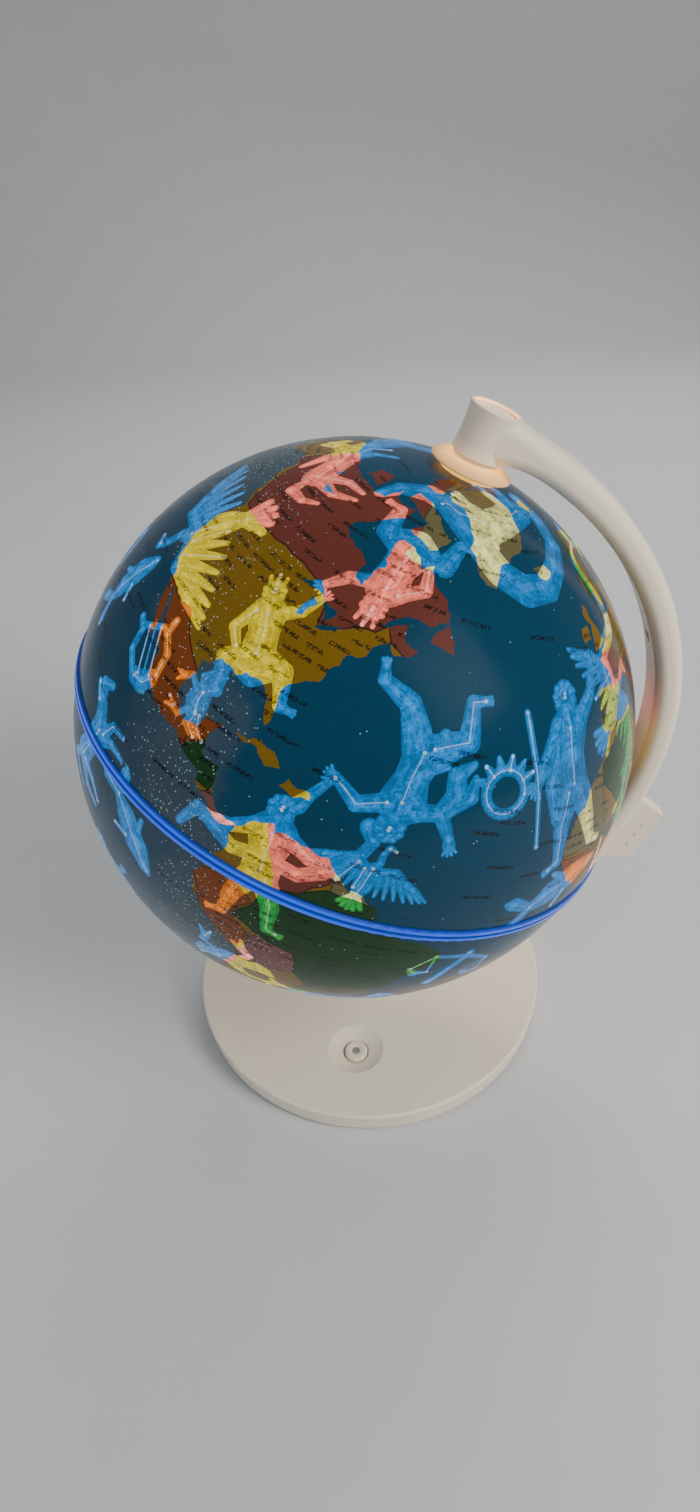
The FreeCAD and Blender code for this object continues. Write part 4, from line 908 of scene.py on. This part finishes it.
def all_outlines():
    """Every printed outline: (kind, ink name, directions)."""
    rng = random.Random(PRINT_SEED)
    out = []
    for kind, shapes, (step, wobble) in ((COAST, LAND, COAST_GRAIN), (LAKE, block(LAKES), LAKE_GRAIN)):
        for shape in shapes:
            out.append((kind, None, [direction(*p) for p in roughen(shape, step, wobble, rng)]))
    for name, shape in tint_shapes():
        line = roughen(shape, *TINT_GRAIN, rng)
        out.append((TINT, name, [direction(*p) for p in line]))
        out.append((BORDER, None, [direction(*p) for p in inset(line, BORDER_WIDTH)]))
    for figure in FIGURES:
        out += [(kind, None, ring) for kind, ring in figure_outlines(*figure)]
    for text in (DRAGON, DRAGON_TAIL):
        out += [(kind, None, ring) for kind, ring in map_limb(text)]
    return out


def disc(radius, sides):
    return [Vector((radius * math.cos(2 * math.pi * i / sides), radius * math.sin(2 * math.pi * i / sides)))
            for i in range(sides)]


def signed_area(ring):
    return sum(a.x * b.y - b.x * a.y for a, b in zip(ring, ring[1:] + ring[:1]))


def reach(ring, side):
    return min(90.0 - math.degrees(math.asin(max(-1.0, min(1.0, side * v.z)))) for v in ring)


# Border lines are printed darker, highlights pass more light, and stick lines run halfway to white.
BORDER_SHADE = 0.62
GLINT_GAIN = 1.25
GLINT_LIFT = 0.012
THREAD_WHITE = 0.5
# Land without a tint is ice south of this height on the unit ball.
ICE_BELOW = -0.86
LINING_PRINT = (0.8, 0.8, 0.78, 0.0)


def ink_for(tags, cap_ice):
    """A face's day print, land share, figure ink and figure state from the outlines that cover it."""
    kinds = {t[0] for t in tags}
    land = COAST in kinds and LAKE not in kinds
    name = "sea"
    if land:
        tints = [t[1] for t in tags if t[0] == TINT]
        name = tints[-1] if tints else ("ice" if cap_ice else "gold")
    print_ink, lit = INK[name]
    on_border = land and sum(t[0] == TINT for t in tags) > sum(t[0] == BORDER for t in tags)
    if on_border:
        print_ink = tuple(c * BORDER_SHADE for c in print_ink)
    if THREAD in kinds:
        return print_ink, land, tuple((1 - THREAD_WHITE) * c + THREAD_WHITE for c in lit), THREAD
    if GLINT in kinds:
        lit = tuple(c * GLINT_GAIN + GLINT_LIFT for c in lit)
    return print_ink, land, lit, LIMB if kinds & {LIMB, CORE, GLINT} else None


def grid_points(outer, step):
    points = []
    for i in range(2, int(outer // step) + 1):
        r = i * step
        points += disc(r, max(8, round(360.0 * math.sin(math.radians(r)) / step)))
    return points


def boundary_loops(tris):
    """The open edges of a triangle list, joined into loops."""
    edges = {(a, b) for t in tris for a, b in zip(t, t[1:] + t[:1])}
    following = {a: b for a, b in edges if (b, a) not in edges}
    loops = []
    while following:
        start, here = following.popitem()
        loop = [start]
        while here != start:
            loop.append(here)
            here = following.pop(here)
        loops.append(loop)
    return sorted(loops, key=len, reverse=True)


def add_lining(verts, tris, flat, side):
    """Gives the shell its thickness: a plain inner dome joined to the outer faces at both rims."""
    loops = boundary_loops(tris)
    rings = [[flat[i] for i in loop] for loop in loops]
    inputs = [p for ring in rings for p in ring]
    starts = [0, len(rings[0]), len(inputs)]
    shapes = []
    for a, b, ring in zip(starts, starts[1:], rings):
        ids = list(range(a, b))
        shapes.append(ids if signed_area(ring) > 0 else ids[::-1])
    inputs += grid_points(90.0 - BAND_HALF - 1.0, INSIDE_STEP)
    points, _, inner, origins, _, owners = delaunay_2d_cdt(inputs, [], shapes, 1, CDT_TOLERANCE)
    base = len(verts)
    verts += [from_chart(p, side) * (BALL_R - SHELL_T) for p in points]
    place = {i: base + j for j, ids in enumerate(origins) for i in ids}
    turn = -1 if side > 0 else 1
    faces = [[base + i for i in t][::turn] for t, own in zip(inner, owners) if 0 in own and 1 not in own]
    walls = []
    for start, loop in zip(starts, loops):
        for k, a in enumerate(loop):
            b = loop[(k + 1) % len(loop)]
            walls.append([b, a, place[start + k], place[start + (k + 1) % len(loop)]])
    return faces + walls


def skin(name, side, outlines):
    """One half of the ball as a printed shell, its outer faces cut along every printed outline."""
    outer = 90.0 - BAND_HALF
    shapes = [(RIM, None, disc(outer, 240)), (HOLE, None, disc(POLE_HOLE, 48))]
    for kind, ink, ring in outlines:
        if reach(ring, side) < outer:
            flat = [to_chart(v, side) for v in ring]
            shapes.append((kind, ink, flat if signed_area(flat) > 0 else flat[::-1]))
    inputs, faces, input_kind = [], [], []
    for kind, _, ring in shapes:
        faces.append(list(range(len(inputs), len(inputs) + len(ring))))
        inputs += ring
        input_kind += [kind] * len(ring)
    inputs += grid_points(outer, GRID_STEP)
    points, _, tris, origins, _, owners = delaunay_2d_cdt(inputs, [], faces, 1, CDT_TOLERANCE)
    keep = [(tri, own) for tri, own in zip(tris, owners) if 0 in own and 1 not in own]
    used = sorted({i for tri, _ in keep for i in tri})
    order = {old: new for new, old in enumerate(used)}
    flat = [points[i] for i in used]
    radial = [from_chart(p, side) for p in flat]
    glow_at = []
    for i in used:
        kinds = {input_kind[j] for j in origins[i] if j < len(input_kind)}
        glow_at.append(min([GLOW_AT[k] for k in kinds if k in GLOW_AT], default=PLAIN_GLOW))
    turn = 1 if side > 0 else -1
    front = [[order[i] for i in tri][::turn] for tri, _ in keep]
    verts = [v * BALL_R for v in radial]
    back = add_lining(verts, front, flat, side)
    mesh = bpy.data.meshes.new(name)
    mesh.from_pydata([TO_STAND @ v for v in verts], [], front + back)
    day, night = [], []
    for face, (tri, own) in zip(front, keep):
        centre = sum((radial[i] for i in face), Vector()) / 3
        print_ink, land, lit, state = ink_for([shapes[i] for i in own], centre.z < ICE_BELOW)
        day += [c for _ in face for c in (*rgb(*print_ink)[:3], float(land))]
        for i in face:
            glow = {THREAD: 1.0, LIMB: glow_at[i], None: 0.0}[state]
            night += [*lit, glow]
    plain = sum(len(f) for f in back)
    for label, values, rest in (("day_print", day, LINING_PRINT), ("night_ink", night, (0, 0, 0, 0))):
        ink = mesh.attributes.new(label, "FLOAT_COLOR", "CORNER")
        ink.data.foreach_set("color", values + list(rest) * plain)
    globe_dir = mesh.attributes.new("globe_dir", "FLOAT_VECTOR", "POINT")
    globe_dir.data.foreach_set("vector", [c for v in verts for c in v.normalized()])
    mesh.polygons.foreach_set("material_index", [0] * len(front) + [1] * len(back))
    mesh.shade_smooth()
    turned = TO_STAND.to_3x3()
    normals = [turned @ v for v in radial] + [-(turned @ v.normalized()) for v in verts[len(radial):]]
    mesh.normals_split_custom_set_from_vertices(normals)
    obj = bpy.data.objects.new(name, mesh)
    bpy.context.scene.collection.objects.link(obj)
    return obj


# Label rows: their spacing, the words' spacing and the height of the marks, in degrees on the ball.
LABEL_ROW = 2.0
LABEL_WORD = 6.4
LABEL_HEIGHT = 0.20
LETTER_RATE = 2.3
LETTER_SLANT = 0.55
# The galaxy: its pole on the map, how rare stars are outside it and how many more it holds.
GALAXY_POLE = (6.0, 27.1)
RARE_STARS = 0.992
BAND_STARS = 0.30
STAR_CELLS = 1150.0


def label_marks(m, across, land):
    """Rows of tiny unreadable dark dashes along the parallels, thick over land and rare at sea."""
    parts = m.node("ShaderNodeSeparateXYZ")
    m.link(across, parts.inputs[0])
    x, y, z = parts.outputs
    lon = m.times(m.math("ARCTAN2", y, x), 180.0 / math.pi)
    lat = m.times(m.math("ARCSINE", z), 180.0 / math.pi)
    rows = m.math("DIVIDE", lat, LABEL_ROW)
    row = m.math("FLOOR", rows)
    height = m.math("ABSOLUTE", m.minus(m.math("FRACT", rows), 0.5))
    narrowing = m.math("COSINE", m.times(row, math.radians(LABEL_ROW)))
    along = m.plus(m.times(lon, narrowing), m.times(row, 13.7))
    words = m.math("DIVIDE", along, LABEL_WORD)
    cell = m.node("ShaderNodeCombineXYZ")
    m.link(m.math("FLOOR", words), cell.inputs[0])
    m.link(row, cell.inputs[1])
    chance = m.node("ShaderNodeTexWhiteNoise", noise_dimensions="3D")
    m.link(cell.outputs[0], chance.inputs["Vector"])
    limit = m.minus(0.86, m.times(land, 0.44))
    said = m.math("GREATER_THAN", chance.outputs["Value"], limit)
    share = m.plus(0.25, m.times(chance.outputs["Value"], 0.6))
    length = m.math("LESS_THAN", m.math("FRACT", words), share)
    stroke = m.node("ShaderNodeTexNoise", noise_dimensions="2D", Scale=LETTER_RATE, Detail=1.0)
    spot = m.node("ShaderNodeCombineXYZ")
    m.link(m.minus(along, m.times(lat, LETTER_SLANT)), spot.inputs[0])
    m.link(m.times(lat, 0.8), spot.inputs[1])
    m.link(spot.outputs[0], stroke.inputs["Vector"])
    letter = m.ramp(stroke.outputs[0], 0.43, 0.49, 0.0, 1.0)
    in_row = m.ramp(height, LABEL_HEIGHT - 0.05, LABEL_HEIGHT, 1.0, 0.0)
    return m.times(m.times(said, length), m.times(letter, in_row))


def star_dust(m, across):
    """The galaxy: a soft band round the ball and the fine stars that are thickest inside it."""
    height = m.math("ABSOLUTE", m.vector("DOT_PRODUCT", across, direction(*GALAXY_POLE)))
    ragged = m.plus(height, m.ramp(m.noise(34.0, 4.0, 0.6), 0.3, 0.7, -0.13, 0.13))
    band = m.ramp(ragged, 0.06, 0.24, 1.0, 0.0)
    cells = m.node("ShaderNodeTexVoronoi", Scale=STAR_CELLS)
    m.link(m.coords(), cells.inputs["Vector"])
    pick = m.node("ShaderNodeSeparateColor")
    m.link(cells.outputs["Color"], pick.inputs[0])
    rarity = m.minus(RARE_STARS, m.times(band, BAND_STARS))
    chosen = m.math("GREATER_THAN", pick.outputs[0], rarity)
    dot = m.ramp(cells.outputs["Distance"], 0.14, 0.30, 1.0, 0.0)
    return band, m.times(chosen, dot)


def engraving(m):
    """Folds, fine dark lines and lighter strokes that shade the figures like an old star atlas."""
    folds = m.ramp(m.noise(210.0, 4.0, 0.6, distortion=1.8), 0.34, 0.66, 0.74, 1.12)
    vein = m.math("ABSOLUTE", m.minus(m.noise(330.0, 2.0, 0.5, distortion=1.2), 0.5))
    dark = m.ramp(vein, 0.0, 0.03, 0.55, 1.0)
    ridge = m.math("ABSOLUTE", m.minus(m.noise(160.0, 3.0, 0.55, distortion=0.8), 0.5))
    light = m.ramp(ridge, 0.0, 0.022, 1.2, 1.0)
    return m.times(m.times(folds, dark), light)


# How strongly the lamp shines through the plain map, the figures and the stars.
MAP_GLOW = 0.5
FIGURE_GLOW = 1.06
STAR_GLOW = 0.55
STAR_LIGHT = rgb(0.75, 0.90, 0.95)[:3]
LABEL_INK = rgb(0.03, 0.03, 0.03)
GALAXY_HAZE = rgb(0.24, 0.27, 0.29)


def printed_plastic():
    """Printed shell lit from inside: a dark day map with labels, and figures that the lamp brings out."""
    m = Nodes("printed_plastic")
    place = m.node("ShaderNodeAttribute", attribute_name="globe_dir")
    across = m.vector("NORMALIZE", place.outputs["Vector"])
    day = m.node("ShaderNodeAttribute", attribute_name="day_print")
    night = m.node("ShaderNodeAttribute", attribute_name="night_ink")
    figure = night.outputs["Alpha"]
    lamp_cloud = m.ramp(m.noise(17.0, 3.0, 0.5), 0.3, 0.7, 0.70, 1.20)
    band, stars = star_dust(m, across)
    grain = m.ramp(m.noise(1500.0, 2.0, 0.7), 0.3, 0.7, 0.86, 1.12)
    paper = m.mix(m.times(band, 0.55), day.outputs["Color"], GALAXY_HAZE)
    on_land = m.ramp(day.outputs["Alpha"], 0.4, 0.6, 0.0, 1.0)
    paper = m.scaled(m.mix(on_land, paper, day.outputs["Color"]), grain)
    marks = label_marks(m, across, day.outputs["Alpha"])
    inked = m.mix(m.times(marks, 0.8), paper, LABEL_INK)
    m.give("Base Color", inked)
    through_map = m.scaled(inked, m.times(lamp_cloud, MAP_GLOW))
    unlabelled = m.minus(1.0, m.times(marks, 0.65))
    drawn = m.times(figure, engraving(m))
    level = m.times(drawn, m.times(unlabelled, FIGURE_GLOW))
    through_figure = m.scaled(night.outputs["Color"], m.times(level, lamp_cloud))
    through_stars = m.scaled(STAR_LIGHT, m.times(stars, STAR_GLOW))
    glow = m.vector("ADD", m.vector("ADD", through_map, through_figure), through_stars)
    m.give("Emission Color", glow)
    m.give("Emission Strength", 1.0)
    m.give("Specular IOR Level", 0.2)
    m.give("Roughness", m.ramp(m.noise(60.0, 4.0, 0.6), 0.3, 0.7, 0.16, 0.27))
    m.bump(m.noise(900.0, 2.0), 0.10, 0.00003)
    return m


def add_ball():
    outlines = all_outlines()
    printed = printed_plastic()
    lining = plastic("shell_lining", (0.92, 0.91, 0.88), 0.5)
    for name, side, node in (("north_skin", 1, "north_hemisphere"), ("south_skin", -1, "south_hemisphere")):
        obj = skin(name, side, outlines)
        obj.data.materials.append(printed.mat)
        obj.data.materials.append(lining.mat)
        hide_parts(node)
        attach(obj, "globe")


dress_nodes()
add_ball()
add_floor()
add_studio()
add_camera()
